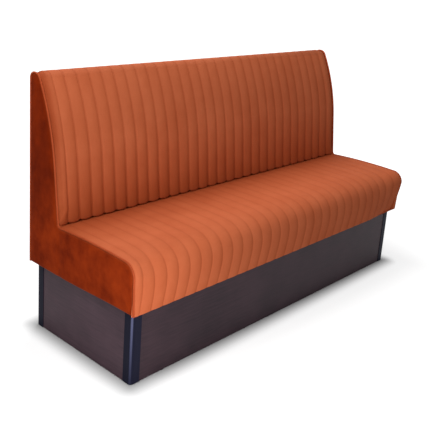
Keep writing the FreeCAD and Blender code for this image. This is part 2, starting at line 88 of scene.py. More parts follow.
# %% Sizes from the upholsterer's pattern
CHANNELS = 30
END_CHANNEL = 0.050
SEAT_EDGE = 0.483
SEAT_CROWN_ANGLE = 3.2
KNEE_RADIUS = 0.054
FRONT_TAPER_ANGLE = 3.2
BACK_FOOT_DEPTH = 0.186
BACK_LEAN_ANGLE = 6.8
BACK_BEND_HEIGHT = 0.700
BACK_TOP_DEPTH = 0.034
TOP_FRONT_RADIUS = 0.0335
TOP_REAR_RADIUS = 0.026
REAR_SEAM_ANGLE = 45.0
TUCK_RADIUS = 0.012
TUCK_GAP = 0.002
FOOT_RADIUS = 0.006
UNDER_BACK = 0.020
WELT_RADIUS = 0.0035
CLEARANCE = 0.0003
QUILT_BACK = 0.007
FLAP_DEPTH = 0.150
FLAP_RISE = 0.0009
SOFT_STEP = 0.0065
FIRST_SEAM = COVER_HALF - END_CHANNEL
CHANNEL_WIDTH = 2 * FIRST_SEAM / (CHANNELS - 2)
print("channel width", round(CHANNEL_WIDTH, 4))

# %% [markdown]
# ## A line to sew along
#
# Every soft piece of this bench follows one line in side view: up the rear, over the top roll, down the
# leaning back, along the seat and over its knee. A hand-drawn curve could do, but straight and round
# stretches keep the line true to the timber inside. The line is walked with the outside on its left, in
# depth from the rear face and height above the floor, and it gives a point and a heading at any place.

# %% The side line of the bench
FINEST_TURN = math.radians(12)


def heading_vector(angle):
    return np.array([math.cos(math.radians(angle)), math.sin(math.radians(angle))])


def outward(angle):
    along = heading_vector(angle)
    return np.array([-along[1], along[0]])


class SideLine:
    """Straight and round stretches, walked one after the other."""

    def __init__(self, depth, height, heading):
        self.end = np.array([depth, height])
        self.heading = heading
        self.stretches = []

    def line(self, length):
        self.stretches.append((self.end, self.heading, length, None))
        self.end = self.end + length * heading_vector(self.heading)
        return self

    def bend(self, radius, turn):
        self.stretches.append((self.end, self.heading, radius, turn))
        side = math.copysign(radius, turn)
        centre = self.end - side * outward(self.heading)
        self.heading -= turn
        self.end = centre + side * outward(self.heading)
        return self

    def add(self, other):
        for _, _, size, turn in other.stretches:
            if turn is None:
                self.line(size)
            else:
                self.bend(size, turn)
        return self

    def walk(self, step):
        """Rows of depth, height, heading and distance walked, about one step apart."""
        rows = []
        walked = 0.0
        for start, heading, size, turn in self.stretches:
            length = size if turn is None else size * math.radians(abs(turn))
            finest = step if turn is None else min(step, FINEST_TURN * size)
            count = max(1, math.ceil(length / finest))
            for i in range(count):
                part = i / count
                if turn is None:
                    point, direction = start + part * length * heading_vector(heading), heading
                else:
                    side = math.copysign(size, turn)
                    direction = heading - turn * part
                    point = start - side * outward(heading) + side * outward(direction)
                rows.append((point[0], point[1], direction, walked + part * length))
            walked += length
        rows.append((self.end[0], self.end[1], self.heading, walked))
        return rows


def row_normals(rows):
    """Which way is out, in space, at each row of a walked line."""
    return np.array([(0, -outward(heading)[0], outward(heading)[1]) for _, _, heading, _ in rows])


# %% The seat's part of the line, from tuck to hem
seat_rise = math.radians(SEAT_CROWN_ANGLE)
back_heading = BACK_LEAN_ANGLE - 90.0
tuck_centre = np.array([BACK_FOOT_DEPTH + TUCK_RADIUS, SEAT_EDGE - TUCK_RADIUS * math.cos(seat_rise)])
seat_start = tuck_centre + TUCK_RADIUS * outward(SEAT_CROWN_ANGLE)
knee_centre = np.array([OUTLINE_FRONT - KNEE_RADIUS, SEAT_EDGE - KNEE_RADIUS * math.cos(seat_rise)])
knee_start = knee_centre + KNEE_RADIUS * outward(-SEAT_CROWN_ANGLE)
knee_end = knee_centre + KNEE_RADIUS * outward(-90.0 - FRONT_TAPER_ANGLE)
crown_radius = (knee_start[0] - seat_start[0]) / (2 * math.sin(seat_rise))
front_line = (knee_end[1] - BODY_BOTTOM) / math.cos(math.radians(FRONT_TAPER_ANGLE))


def seat_top_and_front():
    line = SideLine(*seat_start, SEAT_CROWN_ANGLE)
    line.bend(crown_radius, 2 * SEAT_CROWN_ANGLE)
    return line.bend(KNEE_RADIUS, 90.0 + FRONT_TAPER_ANGLE - SEAT_CROWN_ANGLE).line(front_line)


def seat_line():
    """A flap over the tuck rail, a flat stretch under the back, then the top, the knee and the front."""
    hem = np.array([FLAP_DEPTH, TUCK_RAIL_TOP + FLAP_RISE])
    flap = seat_start - UNDER_BACK * heading_vector(SEAT_CROWN_ANGLE) - hem
    line = SideLine(*hem, math.degrees(math.atan2(flap[1], flap[0]))).line(math.hypot(*flap))
    line.heading = SEAT_CROWN_ANGLE
    return line.line(UNDER_BACK).add(seat_top_and_front())


# %% The back's part of the line, and the whole side
lean = math.radians(BACK_LEAN_ANGLE)
bend_point = np.array([BACK_FOOT_DEPTH - (BACK_BEND_HEIGHT - SEAT_EDGE) * math.tan(lean), BACK_BEND_HEIGHT])
roll_centre = np.array([BACK_TOP_DEPTH, OUTLINE_TOP - TOP_FRONT_RADIUS])
reach = roll_centre - bend_point
reach_out = reach @ outward(back_heading) + TOP_FRONT_RADIUS
curve_radius = (TOP_FRONT_RADIUS ** 2 - reach @ reach) / (2 * reach_out)
curve_centre = bend_point - curve_radius * outward(back_heading)
roll_turn = math.degrees(math.atan2(*(roll_centre - curve_centre)))
corner_depth = BACK_FOOT_DEPTH + (seat_start[0] - BACK_FOOT_DEPTH) * math.tan(seat_rise) * math.tan(lean)
corner = np.array([corner_depth, seat_start[1] - (seat_start[0] - corner_depth) * math.tan(seat_rise)])
corner_reach = math.dist(seat_start, corner)
corner_turn = SEAT_CROWN_ANGLE - back_heading


def over_the_top(line, rear_turn):
    line.bend(TOP_REAR_RADIUS, rear_turn).line(BACK_TOP_DEPTH - TOP_REAR_RADIUS)
    return line.bend(TOP_FRONT_RADIUS, roll_turn).bend(curve_radius, -back_heading - roll_turn)


def back_line():
    rear_centre = np.array([TOP_REAR_RADIUS, OUTLINE_TOP - TOP_REAR_RADIUS])
    line = SideLine(*(rear_centre + TOP_REAR_RADIUS * outward(REAR_SEAM_ANGLE)), REAR_SEAM_ANGLE)
    over_the_top(line, REAR_SEAM_ANGLE)
    tuck_start = SEAT_EDGE + TUCK_GAP + FOOT_RADIUS * (1 + math.sin(lean))
    line.line((line.end[1] - tuck_start) / math.cos(lean)).bend(FOOT_RADIUS, back_heading + 180.0)
    return line.line(line.end[0] - BOARD_FRONT)


def up_the_rear():
    """The straight part of the rear, from the hem to the top roll."""
    return SideLine(0.0, BODY_BOTTOM, 90.0).line(OUTLINE_TOP - TOP_REAR_RADIUS - BODY_BOTTOM)


def side_line():
    line = over_the_top(up_the_rear(), 90.0)
    line.line(math.dist(line.end, corner) - corner_reach)
    line.bend(corner_reach / math.tan(math.radians(corner_turn / 2)), -corner_turn)
    return line.add(seat_top_and_front())


print("side line length", round(side_line().walk(SOFT_STEP)[-1][3], 3), "m")


# %% [markdown]
# ## Drawn-in corners
#
# Where the cover is pulled under the seat and stapled, the lower front corners draw in. Modelling the
# pull into each piece would be easy to get out of step, so one function moves every point of the seat
# cover, the side panels and the welts alike. The right-hand corner was pulled harder than the left.

# %% One pull for all the pieces that meet at a corner
PULL_LEFT = 0.012
PULL_RIGHT = 0.013
PULL_BACK_RIGHT = 0.018
PULL_TOP = 0.440
PULL_REAR = 0.20
PULL_SPREAD = 0.30
PULL_CURVE = 1.4


def smooth(low, high, value):
    """0 at low and 1 at high, with a soft start and end."""
    part = np.clip((value - low) / (high - low), 0.0, 1.0)
    return part * part * (3 - 2 * part)


def drawn_in(points):
    """Points as rows of x, y, z after the pull at the lower front corners."""
    points = np.asarray(points, float).copy()
    x, depth, height = points[:, 0], REAR_Y - points[:, 1], points[:, 2]
    down = np.clip((PULL_TOP - height) / (PULL_TOP - BODY_BOTTOM), 0, 1) ** PULL_CURVE
    pull = down * smooth(PULL_REAR, OUTLINE_FRONT - KNEE_RADIUS, depth)
    left = smooth(-HALF_LENGTH + PULL_SPREAD, -HALF_LENGTH, x)
    right = smooth(HALF_LENGTH - PULL_SPREAD, HALF_LENGTH, x)
    points[:, 0] += pull * (PULL_LEFT * left - PULL_RIGHT * right)
    points[:, 1] += pull * PULL_BACK_RIGHT * right
    return points


def place(x, spot):
    """A spot of depth and height, set down in space at x."""
    return (x, REAR_Y - spot[0], spot[1])


# %% Helpers that turn points into pieces
SHARP_FOLD = math.radians(50)


def make_piece(name, points, faces, material):
    mesh = bpy.data.meshes.new(name)
    mesh.from_pydata([tuple(p) for p in points], [], [tuple(f) for f in faces])
    mesh.validate()
    piece = bpy.data.objects.new(name, mesh)
    bpy.context.scene.collection.objects.link(piece)
    mesh.shade_smooth()
    mesh.set_sharp_from_angle(angle=SHARP_FOLD)
    mesh.materials.append(material)
    print(name, len(points), "points", len(faces), "faces")
    return piece


def face_outwards(piece):
    tidy = bmesh.new()
    tidy.from_mesh(piece.data)
    bmesh.ops.recalc_face_normals(tidy, faces=tidy.faces)
    tidy.to_mesh(piece.data)
    tidy.free()


def grid_faces(rows, columns, start=0):
    return [(start + r * columns + c, start + r * columns + c + 1,
             start + (r + 1) * columns + c + 1, start + (r + 1) * columns + c)
            for r in range(rows - 1) for c in range(columns - 1)]


def make_slab(name, outer, inner, material):
    """Two grids of points joined round their rim."""
    rows, cols = outer.shape[:2]
    count = rows * cols
    faces = grid_faces(rows, cols)
    faces += [tuple(reversed(f)) for f in grid_faces(rows, cols, count)]
    rim = list(range(cols)) + [r * cols + cols - 1 for r in range(1, rows)]
    rim += [(rows - 1) * cols + c for c in range(cols - 2, -1, -1)]
    rim += [r * cols for r in range(rows - 2, 0, -1)]
    faces += [(b, a, count + a, count + b) for a, b in zip(rim, rim[1:] + rim[:1])]
    return make_piece(name, np.vstack([outer.reshape(-1, 3), inner.reshape(-1, 3)]), faces, material)


def linear(red, green, blue):
    """A colour from its screen values, 0 to 255, as the renderer wants it."""
    def channel(value):
        value /= 255
        return value / 12.92 if value <= 0.04045 else ((value + 0.055) / 1.055) ** 2.4
    return (channel(red), channel(green), channel(blue), 1.0)


# %% [markdown]
# ## Small tools for materials
#
# Every material here is a recipe: a noise or two, a few sums and a mix of two colours. Adding each node
# by hand would bury the recipe, so these tools add one node each and return its result. A value goes in
# as a number, a colour or another node's result.

# %% Tools that add one node each
SOCKET_KINDS = {"VALUE": "NodeSocketFloat", "VECTOR": "NodeSocketVector", "RGBA": "NodeSocketColor"}


def feed(tree, socket, value):
    """Links another node's result to a socket, or sets the socket to a value."""
    if isinstance(value, bpy.types.NodeSocket):
        tree.links.new(value, socket)
    else:
        socket.default_value = value


def math_node(tree, operation, *values, clamp=False):
    node = tree.nodes.new("ShaderNodeMath")
    node.operation = operation
    node.use_clamp = clamp
    for socket, value in zip(node.inputs, values):
        feed(tree, socket, value)
    return node.outputs[0]


def ramp(tree, value, start, end):
    """0 at the start, 1 at the end and straight between them."""
    return math_node(tree, "MULTIPLY_ADD", value, 1 / (end - start), -start / (end - start), clamp=True)


def times(tree, first, second):
    return math_node(tree, "MULTIPLY", first, second)


def vector_node(tree, operation, *values):
    node = tree.nodes.new("ShaderNodeVectorMath")
    node.operation = operation
    for socket, value in zip(node.inputs, values):
        feed(tree, socket, value)
    return node.outputs["Value" if operation in ("LENGTH", "DOT_PRODUCT") else "Vector"]


def mix_colour(tree, factor, first, second, blend="MIX"):
    node = tree.nodes.new("ShaderNodeMix")
    node.data_type = "RGBA"
    node.blend_type = blend
    for index, value in ((0, factor), (6, first), (7, second)):
        feed(tree, node.inputs[index], value)
    return node.outputs[2]


def noise_texture(tree, vector, scale, detail=3.0, roughness=0.55):
    node = tree.nodes.new("ShaderNodeTexNoise")
    for label, value in (("Vector", vector), ("Scale", scale), ("Detail", detail), ("Roughness", roughness)):
        feed(tree, node.inputs[label], value)
    return node.outputs["Fac"]


def stretched(tree, vector, scale):
    node = tree.nodes.new("ShaderNodeMapping")
    tree.links.new(vector, node.inputs["Vector"])
    node.inputs["Scale"].default_value = scale
    return node.outputs["Vector"]


def axis_of(tree, vector, axis):
    node = tree.nodes.new("ShaderNodeSeparateXYZ")
    tree.links.new(vector, node.inputs[0])
    return node.outputs[axis]


def surface(tree, kind):
    """The place, the normal or the cloth map of the surface."""
    return tree.nodes.new("ShaderNodeTexCoord").outputs[kind]


def place_ramp(tree, axis, start, end):
    """A ramp by place, along one axis of the bench."""
    return ramp(tree, axis_of(tree, surface(tree, "Object"), axis), start, end)


def shaded(tree, colour, shade, mask):
    return mix_colour(tree, mask, colour, shade, "MULTIPLY")


def bumped(tree, height, distance, strength=1.0):
    node = tree.nodes.new("ShaderNodeBump")
    for label, value in (("Strength", strength), ("Distance", distance), ("Height", height)):
        feed(tree, node.inputs[label], value)
    return node.outputs["Normal"]


# %% Tools for groups and whole materials
def new_group(name, inputs):
    """A group whose inputs start at the given values: a number, a vector or a colour."""
    group = bpy.data.node_groups.new(name, "ShaderNodeTree")
    for label, value in inputs.items():
        kind = "VALUE" if isinstance(value, float) else "VECTOR" if len(value) == 3 else "RGBA"
        socket = group.interface.new_socket(label, in_out="INPUT", socket_type=SOCKET_KINDS[kind])
        socket.default_value = value
    return group, group.nodes.new("NodeGroupInput").outputs


def finish_group(group, results):
    """Gives the group an output for each result."""
    for label, result in results.items():
        group.interface.new_socket(label, in_out="OUTPUT", socket_type=SOCKET_KINDS[result.type])
    end = group.nodes.new("NodeGroupOutput")
    for label, result in results.items():
        group.links.new(result, end.inputs[label])
    print(group.name, "group", len(group.nodes), "nodes")
    return group


def placed_group(tree, group, values):
    node = tree.nodes.new("ShaderNodeGroup")
    node.node_tree = group
    for label, value in values.items():
        feed(tree, node.inputs[label], value)
    return node.outputs


def layered(tree, layers, contrast, strength):
    """Layers of noise added by their shares, set round a half and strengthened."""
    total = 0.0
    for layer, share in layers:
        total = math_node(tree, "MULTIPLY_ADD", layer, share, total)
    centred = times(tree, math_node(tree, "SUBTRACT", total, 0.5), contrast)
    return math_node(tree, "MULTIPLY_ADD", centred, strength, 0.5, clamp=True)


def made_material(name, recipe):
    """A material from a recipe that takes the node tree and gives the shader's settings."""
    material = bpy.data.materials.new(name)
    material.use_nodes = True
    tree = material.node_tree
    for label, value in recipe(tree).items():
        feed(tree, tree.nodes["Principled BSDF"].inputs[label], value)
    return material


# %% [markdown]
# ## Velvet
#
# Velvet is a short pile that leans. Each stroke of a hand leaves it leaning another way, so the colour
# is mottled in soft strokes between a light and a dark one. A sheen setting would also pale the edges of
# every fold, but this velvet is dull, so its two colours and its roughness do the work. One group makes
# the strokes and the fibres for every velvet of the bench.

# %% A group for the strokes and the pile of velvet
def build_velvet_group():
    group, given = new_group("velvet pile", {"Position": (0, 0, 0), "Pile up": (0.6, 0.2, 0.1, 1),
                                             "Pile down": (0.4, 0.1, 0.05, 1), "Strokes": 0.5})
    broad = noise_texture(group, given["Position"], 5.0, 2.0)
    strokes = noise_texture(group, stretched(group, given["Position"], (10.0, 10.0, 6.5)), 1.0, 3.0, 0.6)
    patches = noise_texture(group, given["Position"], 26.0, 3.0, 0.6)
    leaning = layered(group, ((broad, 0.3), (strokes, 0.5), (patches, 0.2)), 5.0, given["Strokes"])
    fibres = noise_texture(group, given["Position"], 900.0, 2.0, 0.7)
    colour = mix_colour(group, leaning, given["Pile down"], given["Pile up"])
    speckle = math_node(group, "MULTIPLY_ADD", fibres, 0.16, 0.92)
    return finish_group(group, {"Colour": shaded(group, colour, speckle, 1.0), "Height": fibres,
                                "Roughness": math_node(group, "MULTIPLY_ADD", fibres, 0.1, 0.72)})


velvet_group = build_velvet_group()

# %% [markdown]
# ## Shade at the seams
#
# A sewn channel is darkest where the pile closes over the stitches. The grooves are real geometry, so
# the light does most of it, and the colour there is painted darker and redder too: partly the crushed
# pile's own colour, partly painted shade. Across each channel the colour is also painted darker from its
# left seam to its right one: painted shade, as a light from the left would give on a rounded channel.
# The sewn pieces carry a map in metres, across and along the cloth, and a group turns it into a mask for
# the seam, one for the band beside it and one for the painted shade across the channel.

# %% A group that finds the seams
BESIDE_WIDTHS = 3.5
CHANNEL_SHADE_CURVE = 1.5


def build_seam_group():
    group, given = new_group("sewn seam", {"Cloth map": (0, 0, 0), "Seam spacing": 0.06, "Seam width": 0.004})
    across = axis_of(group, given["Cloth map"], "X")
    distance = math_node(group, "PINGPONG", across, times(group, given["Seam spacing"], 0.5))
    near = math_node(group, "DIVIDE", distance, given["Seam width"])
    # The part across each channel drives a painted shade from its left seam to its right one.
    part = math_node(group, "FRACT", math_node(group, "DIVIDE", across, given["Seam spacing"]))
    return finish_group(group, {"Seam": math_node(group, "SUBTRACT", 1.0, near, clamp=True),
                                "Beside": ramp(group, near, BESIDE_WIDTHS, 0.0),
                                "Channel shade": math_node(group, "POWER", part, CHANNEL_SHADE_CURVE)})


seam_group = build_seam_group()


def seam_masks(tree, spacing, width):
    return placed_group(tree, seam_group, {"Cloth map": surface(tree, "UV"), "Seam spacing": spacing,
                                           "Seam width": width})


# %% [markdown]
# ## The velvets
#
# A plain recipe would give every velvet one even tone. On the bench the light falls unevenly, so the
# colour is painted darker in places: near the crease, on the top roll, in the left end channel beside its
# welt and up the sides. All four are painted shade. Each of these is one step that takes the colour and
# gives it back shaded, and each velvet lists the steps that it needs.

# %% Seams and shades of the velvets
# The grooves are painted darker and redder: partly the crushed pile's own colour, partly painted shade. The
# channel shade is painted shade across each channel, calmer on level faces.
GROOVE_WIDTH = 0.0070
GROOVE_STRENGTH = 0.12
GROOVE_BESIDE = 0.4
GROOVE_COLOUR = linear(132, 42, 8)
CHANNEL_SHADE = (0.84, 0.77, 0.68, 1.0)
LEVEL_CALM = 0.8
CREASE = (0.0, REAR_Y - BACK_FOOT_DEPTH, SEAT_EDGE)
# Painted shade near the crease, on the seat and the lower back.
CREASE_SHADE_REACH = 0.27
CREASE_SHADE = (0.70, 0.57, 0.44, 1.0)
# Painted shade on the top roll of the back, which the ceiling lamp lights, more so to the right.
ROLL_FROM, ROLL_TO = OUTLINE_TOP - 0.022, OUTLINE_TOP - 0.004
ROLL_LEFT, ROLL_RIGHT = -1.5556, 0.6667
ROLL_SHADE = (0.60, 0.62, 0.64, 1.0)
# Painted shade in the left end channel of the back, beside its welt.
END_FROM, END_TO = 0.042 - COVER_HALF, 0.010 - COVER_HALF
END_LOW, END_HIGH = 0.60, 0.80
END_SHADE = (0.68, 0.53, 0.43, 1.0)
# The border seam's dark line is partly the crushed pile and partly painted shade beside the welt; the fringe
# beside it is a painted highlight.
BORDER_SPACING = 4.0
BORDER_WIDTH = 0.0024
BORDER_STRENGTH = 0.5
BORDER_COLOUR = linear(70, 20, 8)
FRINGE_HIGHLIGHT_STRENGTH = 0.6
FRINGE_HIGHLIGHT_COLOUR = linear(176, 76, 38)
# Painted shade up the side panels, darker towards their top.
SIDE_LOW, SIDE_HIGH = 0.42, 0.67
SIDE_SHADE = (0.59, 0.49, 0.31, 1.0)


def channel_seams(tree, colour):
    """Painted shade in the grooves, partly the crushed pile's own darker red, and painted shade across each
    channel, less on level faces.
    """
    masks = seam_masks(tree, CHANNEL_WIDTH, GROOVE_WIDTH)
    level = math_node(tree, "ABSOLUTE", axis_of(tree, surface(tree, "Normal"), "Z"))
    upright = math_node(tree, "MULTIPLY_ADD", level, -LEVEL_CALM, 1.0)
    colour = shaded(tree, colour, CHANNEL_SHADE, times(tree, masks["Channel shade"], upright))
    beside = times(tree, masks["Beside"], GROOVE_BESIDE * GROOVE_STRENGTH)
    colour = mix_colour(tree, beside, colour, GROOVE_COLOUR)
    return mix_colour(tree, times(tree, masks["Seam"], GROOVE_STRENGTH), colour, GROOVE_COLOUR)


def border_seam(tree, colour):
    """The one seam round a plain panel, painted darker, partly the crushed pile and partly painted shade,
    with a painted highlight in a fringe beside it.
    """
    masks = seam_masks(tree, BORDER_SPACING, BORDER_WIDTH)
    colour = mix_colour(tree, times(tree, masks["Beside"], FRINGE_HIGHLIGHT_STRENGTH), colour, FRINGE_HIGHLIGHT_COLOUR)
    return mix_colour(tree, times(tree, masks["Seam"], BORDER_STRENGTH), colour, BORDER_COLOUR)


def painted_roll_shade(tree, colour):
    """Painted shade on the lit top roll, more so to the right."""
    high = place_ramp(tree, "Z", ROLL_FROM, ROLL_TO)
    return shaded(tree, colour, ROLL_SHADE, times(tree, high, place_ramp(tree, "X", ROLL_LEFT, ROLL_RIGHT)))


def painted_end_shade(tree, colour):
    """Painted shade in the end channel of the back, where it turns away to its welt."""
    end = place_ramp(tree, "X", END_FROM, END_TO)
    return shaded(tree, colour, END_SHADE, times(tree, end, place_ramp(tree, "Z", END_LOW, END_HIGH)))


def painted_crease_shade(tree, colour):
    """Painted shade near the crease, which also makes the colour richer there."""
    offset = vector_node(tree, "SUBTRACT", surface(tree, "Object"), CREASE)
    reach = vector_node(tree, "LENGTH", vector_node(tree, "MULTIPLY", offset, (0.0, 1.0, 1.0)))
    return shaded(tree, colour, CREASE_SHADE, ramp(tree, reach, CREASE_SHADE_REACH, 0.0))


def painted_shade_above(tree, colour):
    """Painted shade up the side, darker towards its top, where less light reaches it."""
    return shaded(tree, colour, SIDE_SHADE, place_ramp(tree, "Z", SIDE_LOW, SIDE_HIGH))


# %% Make the velvets
VELVET_GLOSS = 0.05
PILE_RELIEF = (0.0004, 0.5)


def velvet(name, pile_up, pile_down, strokes, steps=()):
    def recipe(tree):
        pile = placed_group(tree, velvet_group, {"Position": surface(tree, "Object"), "Pile up": pile_up,
                                                 "Pile down": pile_down, "Strokes": strokes})
        colour = pile["Colour"]
        for step in steps:
            colour = step(tree, colour)
        return {"Base Color": colour, "Roughness": pile["Roughness"],
                "Specular IOR Level": VELVET_GLOSS, "Normal": bumped(tree, pile["Height"], *PILE_RELIEF)}
    return made_material(name, recipe)


fluted_velvet = velvet("fluted velvet", linear(206, 111, 73), linear(186, 92, 56), 0.35,
                       (channel_seams, painted_roll_shade, painted_end_shade, painted_crease_shade))
# The plain velvet's colours are darker than the fluted velvet's: a painted shade that keeps the sides darker
# than the front and the seat.
plain_velvet = velvet("plain velvet", linear(174, 60, 15), linear(122, 34, 5), 0.9, (border_seam, painted_shade_above))
rear_velvet = velvet("rear velvet", linear(170, 66, 32), linear(132, 44, 16), 0.5)
welt_velvet = velvet("welt velvet", linear(186, 84, 48), linear(158, 64, 32), 0.5)
print("velvets made")

# %% [markdown]
# ## Wood, board and metal
#
# The plinth boards are dark stained wood with a fine grain that runs along each board. Grain is a long
# thin noise, stretched in the board's direction, and one group makes it for the dark boards and for the
# pale plywood and softwood inside. The end boards catch more light than the long ones, so the long boards
# get a darker copy of the same wood: painted shade. A second group makes the fine speckle of thread,
# lining, zinc and nylon.

# %% The woods
WOOD_GLOSS = 0.13
GRAIN_RELIEF = (0.0003, 0.4)


def build_grain_group():
    group, given = new_group("wood grain", {"Position": (0, 0, 0), "Light wood": (0.5, 0.4, 0.3, 1),
                                            "Dark wood": (0.3, 0.2, 0.1, 1), "Contrast": 1.0})
    bands = noise_texture(group, stretched(group, given["Position"], (4.0, 4.0, 120.0)), 1.0, 4.0, 0.65)
    pores = noise_texture(group, stretched(group, given["Position"], (16.0, 16.0, 620.0)), 1.0, 2.0, 0.5)
    clouds = noise_texture(group, given["Position"], 6.0, 2.0)
    grain = layered(group, ((pores, 0.3), (bands, 0.35), (clouds, 0.35)), 3.6, given["Contrast"])
    return finish_group(group, {"Colour": mix_colour(group, grain, given["Dark wood"], given["Light wood"]),
                                "Height": pores,
                                "Roughness": math_node(group, "MULTIPLY_ADD", bands, 0.2, 0.38)})


grain_group = build_grain_group()


def wood(name, light, dark, contrast):
    def recipe(tree):
        grain = placed_group(tree, grain_group, {"Position": surface(tree, "Object"), "Light wood": light,
                                                 "Dark wood": dark, "Contrast": contrast})
        return {"Base Color": grain["Colour"], "Roughness": grain["Roughness"],
                "Specular IOR Level": WOOD_GLOSS, "Normal": bumped(tree, grain["Height"], *GRAIN_RELIEF)}
    return made_material(name, recipe)


dark_wood = wood("dark stained wood, end boards", linear(88, 66, 75), linear(58, 42, 50), 0.9)
# The long boards get a darker copy of the end boards' wood: painted shade.
long_wood_in_shade = wood("dark stained wood in painted shade, long boards", linear(64, 46, 53), linear(38, 27, 33), 0.9)
plywood = wood("birch plywood", linear(214, 184, 142), linear(182, 144, 98), 0.8)
softwood = wood("planed softwood", linear(212, 172, 120), linear(176, 128, 78), 1.0)
hardboard = wood("hardboard", linear(120, 84, 56), linear(98, 66, 42), 0.5)
print("woods made")


# %% Thread, lining, zinc and nylon
def build_speckle_group():
    group, given = new_group("fine speckle", {"Position": (0, 0, 0), "Scale": 400.0, "Detail": 3.0,
                                              "Fineness": 0.55, "Dark": (0.1, 0.1, 0.1, 1),
                                              "Light": (0.2, 0.2, 0.2, 1)})
    speckle = noise_texture(group, *(given[label] for label in ("Position", "Scale", "Detail", "Fineness")))
    return finish_group(group, {"Colour": mix_colour(group, speckle, given["Dark"], given["Light"]),
                                "Height": speckle})


speckle_group = build_speckle_group()


def speckled(name, dark, light, scale, settings, detail=3.0, fineness=0.55, relief=None):
    def recipe(tree):
        speckle = placed_group(tree, speckle_group, {"Position": surface(tree, "Object"), "Scale": scale,
                                                     "Detail": detail, "Fineness": fineness, "Dark": dark,
                                                     "Light": light})
        made = {"Base Color": speckle["Colour"], **settings}
        if relief:
            made["Normal"] = bumped(tree, speckle["Height"], relief)
        return made
    return made_material(name, recipe)


thread = speckled("sewing thread", linear(150, 60, 26), linear(178, 80, 42), 2500.0,
                  {"Roughness": 0.6, "Specular IOR Level": 0.1})
lining = speckled("black lining", linear(16, 16, 18), linear(44, 43, 46), 400.0, {"Roughness": 0.95},
                  detail=4.0, fineness=0.7, relief=0.0003)
zinc = speckled("zinc plated steel", linear(150, 152, 156), linear(196, 198, 200), 220.0,
                {"Metallic": 1.0, "Roughness": 0.38})
nylon = speckled("dark nylon", linear(34, 34, 36), linear(52, 52, 54), 600.0, {"Roughness": 0.55})
print("thread, lining, zinc and nylon made")

# %% [markdown]
# ## The fluted covers
#
# Thirty channels are sewn through a thin wadding. Each puff rises quickly from its seam and is nearly
# flat on top. On the back every seam is a twin one: two stitched lines with a narrow flat band between
# them. The cover is a grid of points, with the rows along the side line and the columns closest
# together at the seams, so the grooves are crisp without millions of faces. The seams aren't evenly
# spaced as sewn: the middle of the cover has drifted a little to the left.

# %% The height of a puff across one channel
SEAM_WIDTH = 0.0026
SHOULDER = 0.0085
END_SEAM_DEPTH = 0.0018
SWELL_SHARE = 0.55
SHOULDER_RISE = 0.0012
NEEDLE_DENT = 0.0002
DENT_FULL_DEPTH = 1 / 300
SEAM_DRIFT = 0.037
DRIFT_BEND = 1.257
DRIFT_MIDDLE = 0.05
TWIN_GAP = 0.0034
SEAT_PLACES = (0.0, 0.0010, 0.0020, 0.0034, 0.0052, 0.0075, 0.0110, 0.0165, 0.0230)
BACK_PLACES = (0.0, 0.0018, 0.0028, TWIN_GAP, 0.0042, 0.0058, 0.0085, 0.0125, 0.0180, 0.0240)
LEAST_GAP = 0.002


def seam_places():
    """Where the seams lie on the evenly drawn pattern, with both edges of the cover."""
    return [-COVER_HALF] + [-FIRST_SEAM + CHANNEL_WIDTH * i for i in range(CHANNELS - 1)] + [COVER_HALF]


def channel_sides():
    return list(zip(seam_places()[:-1], seam_places()[1:]))


def shoulder(distance):
    """How far a puff has risen, 0 at its seam to 1 on top, at a distance from the seam."""
    return 1 - np.exp(-distance / SHOULDER)


def columns(twin):
    """Each column's place on the cloth, its distance from the seam and its channel."""
    table = []
    for channel, (low, high) in enumerate(channel_sides()):
        half = (high - low) / 2
        places = [p for p in (BACK_PLACES if twin else SEAT_PLACES) if p < half - LEAST_GAP] + [half]
        places += [2 * half - p for p in reversed(places[1:-1])]
        table += [(low + p, min(p, 2 * half - p), channel) for p in places]
    table.append((COVER_HALF, 0.0, CHANNELS - 1))
    return table


def sewn(x, pull):
    """Where a place of the evenly drawn pattern lies once it is sewn and pulled: a little to the left."""
    drift = SEAM_DRIFT * np.cos(DRIFT_BEND * (x / COVER_HALF - DRIFT_MIDDLE)) + pull
    return x - drift * np.clip((COVER_HALF - np.abs(x)) / END_CHANNEL, 0, 1)


# %% Waves for what no hand sews evenly
PUFF_WAVES = ((90, 3.0, 0.22), (140, 11.0, 0.12))
SWAY_WAVES = ((1, 5.0, 0.0012), (50, 16.0, 0.0005))
PUCKER_WAVES = ((200, 70.0, 0.00045),)
WELT_WAVES = ((300, 60.0, 0.05), (320, 18.0, 0.04))
SEED_STEP, WAVE_LAYER = 7.31, 3.7


def wavering(waves, things, walked):
    """A value for each numbered thing, as a sum of waves: their seed, their pace per metre, their size."""
    return np.array([sum(size * noise.noise(Vector(((thing + seed) * SEED_STEP, walked * pace, WAVE_LAYER)))
                         for seed, pace, size in waves) for thing in things])


# %% [markdown]
# ## Puffs from a cloth simulation
#
# The puffs could be drawn with a formula alone, but real ones are uneven: the wadding pushes the velvet
# out and the seams hold it, so it swells and puckers. A coarse net of cloth, pinned at the seams and
# edges and blown up for twenty frames with gravity off, gives that unevenness. The net's own creases
# across the cloth are too coarse to keep, so its swelling is smoothed along the cloth and capped. It is
# then added to the fine grid as a table, and no simulation stays in the file's pieces.

# %% Blow up a coarse net of the cover
NET_PER_CHANNEL = 8
NET_STEP = 0.009
NET_SMOOTHING = 16
NET_STIFFNESS = 20
NET_BENDING = 0.4
NET_SLACK = 0.02
PUFF_PRESSURE = 4.0
PUFF_FRAMES = 20
SWELL_CAP = 0.0120


def net_places():
    places = [low + (high - low) * i / NET_PER_CHANNEL for low, high in channel_sides()
              for i in range(NET_PER_CHANNEL)]
    return np.array(places + [COVER_HALF])


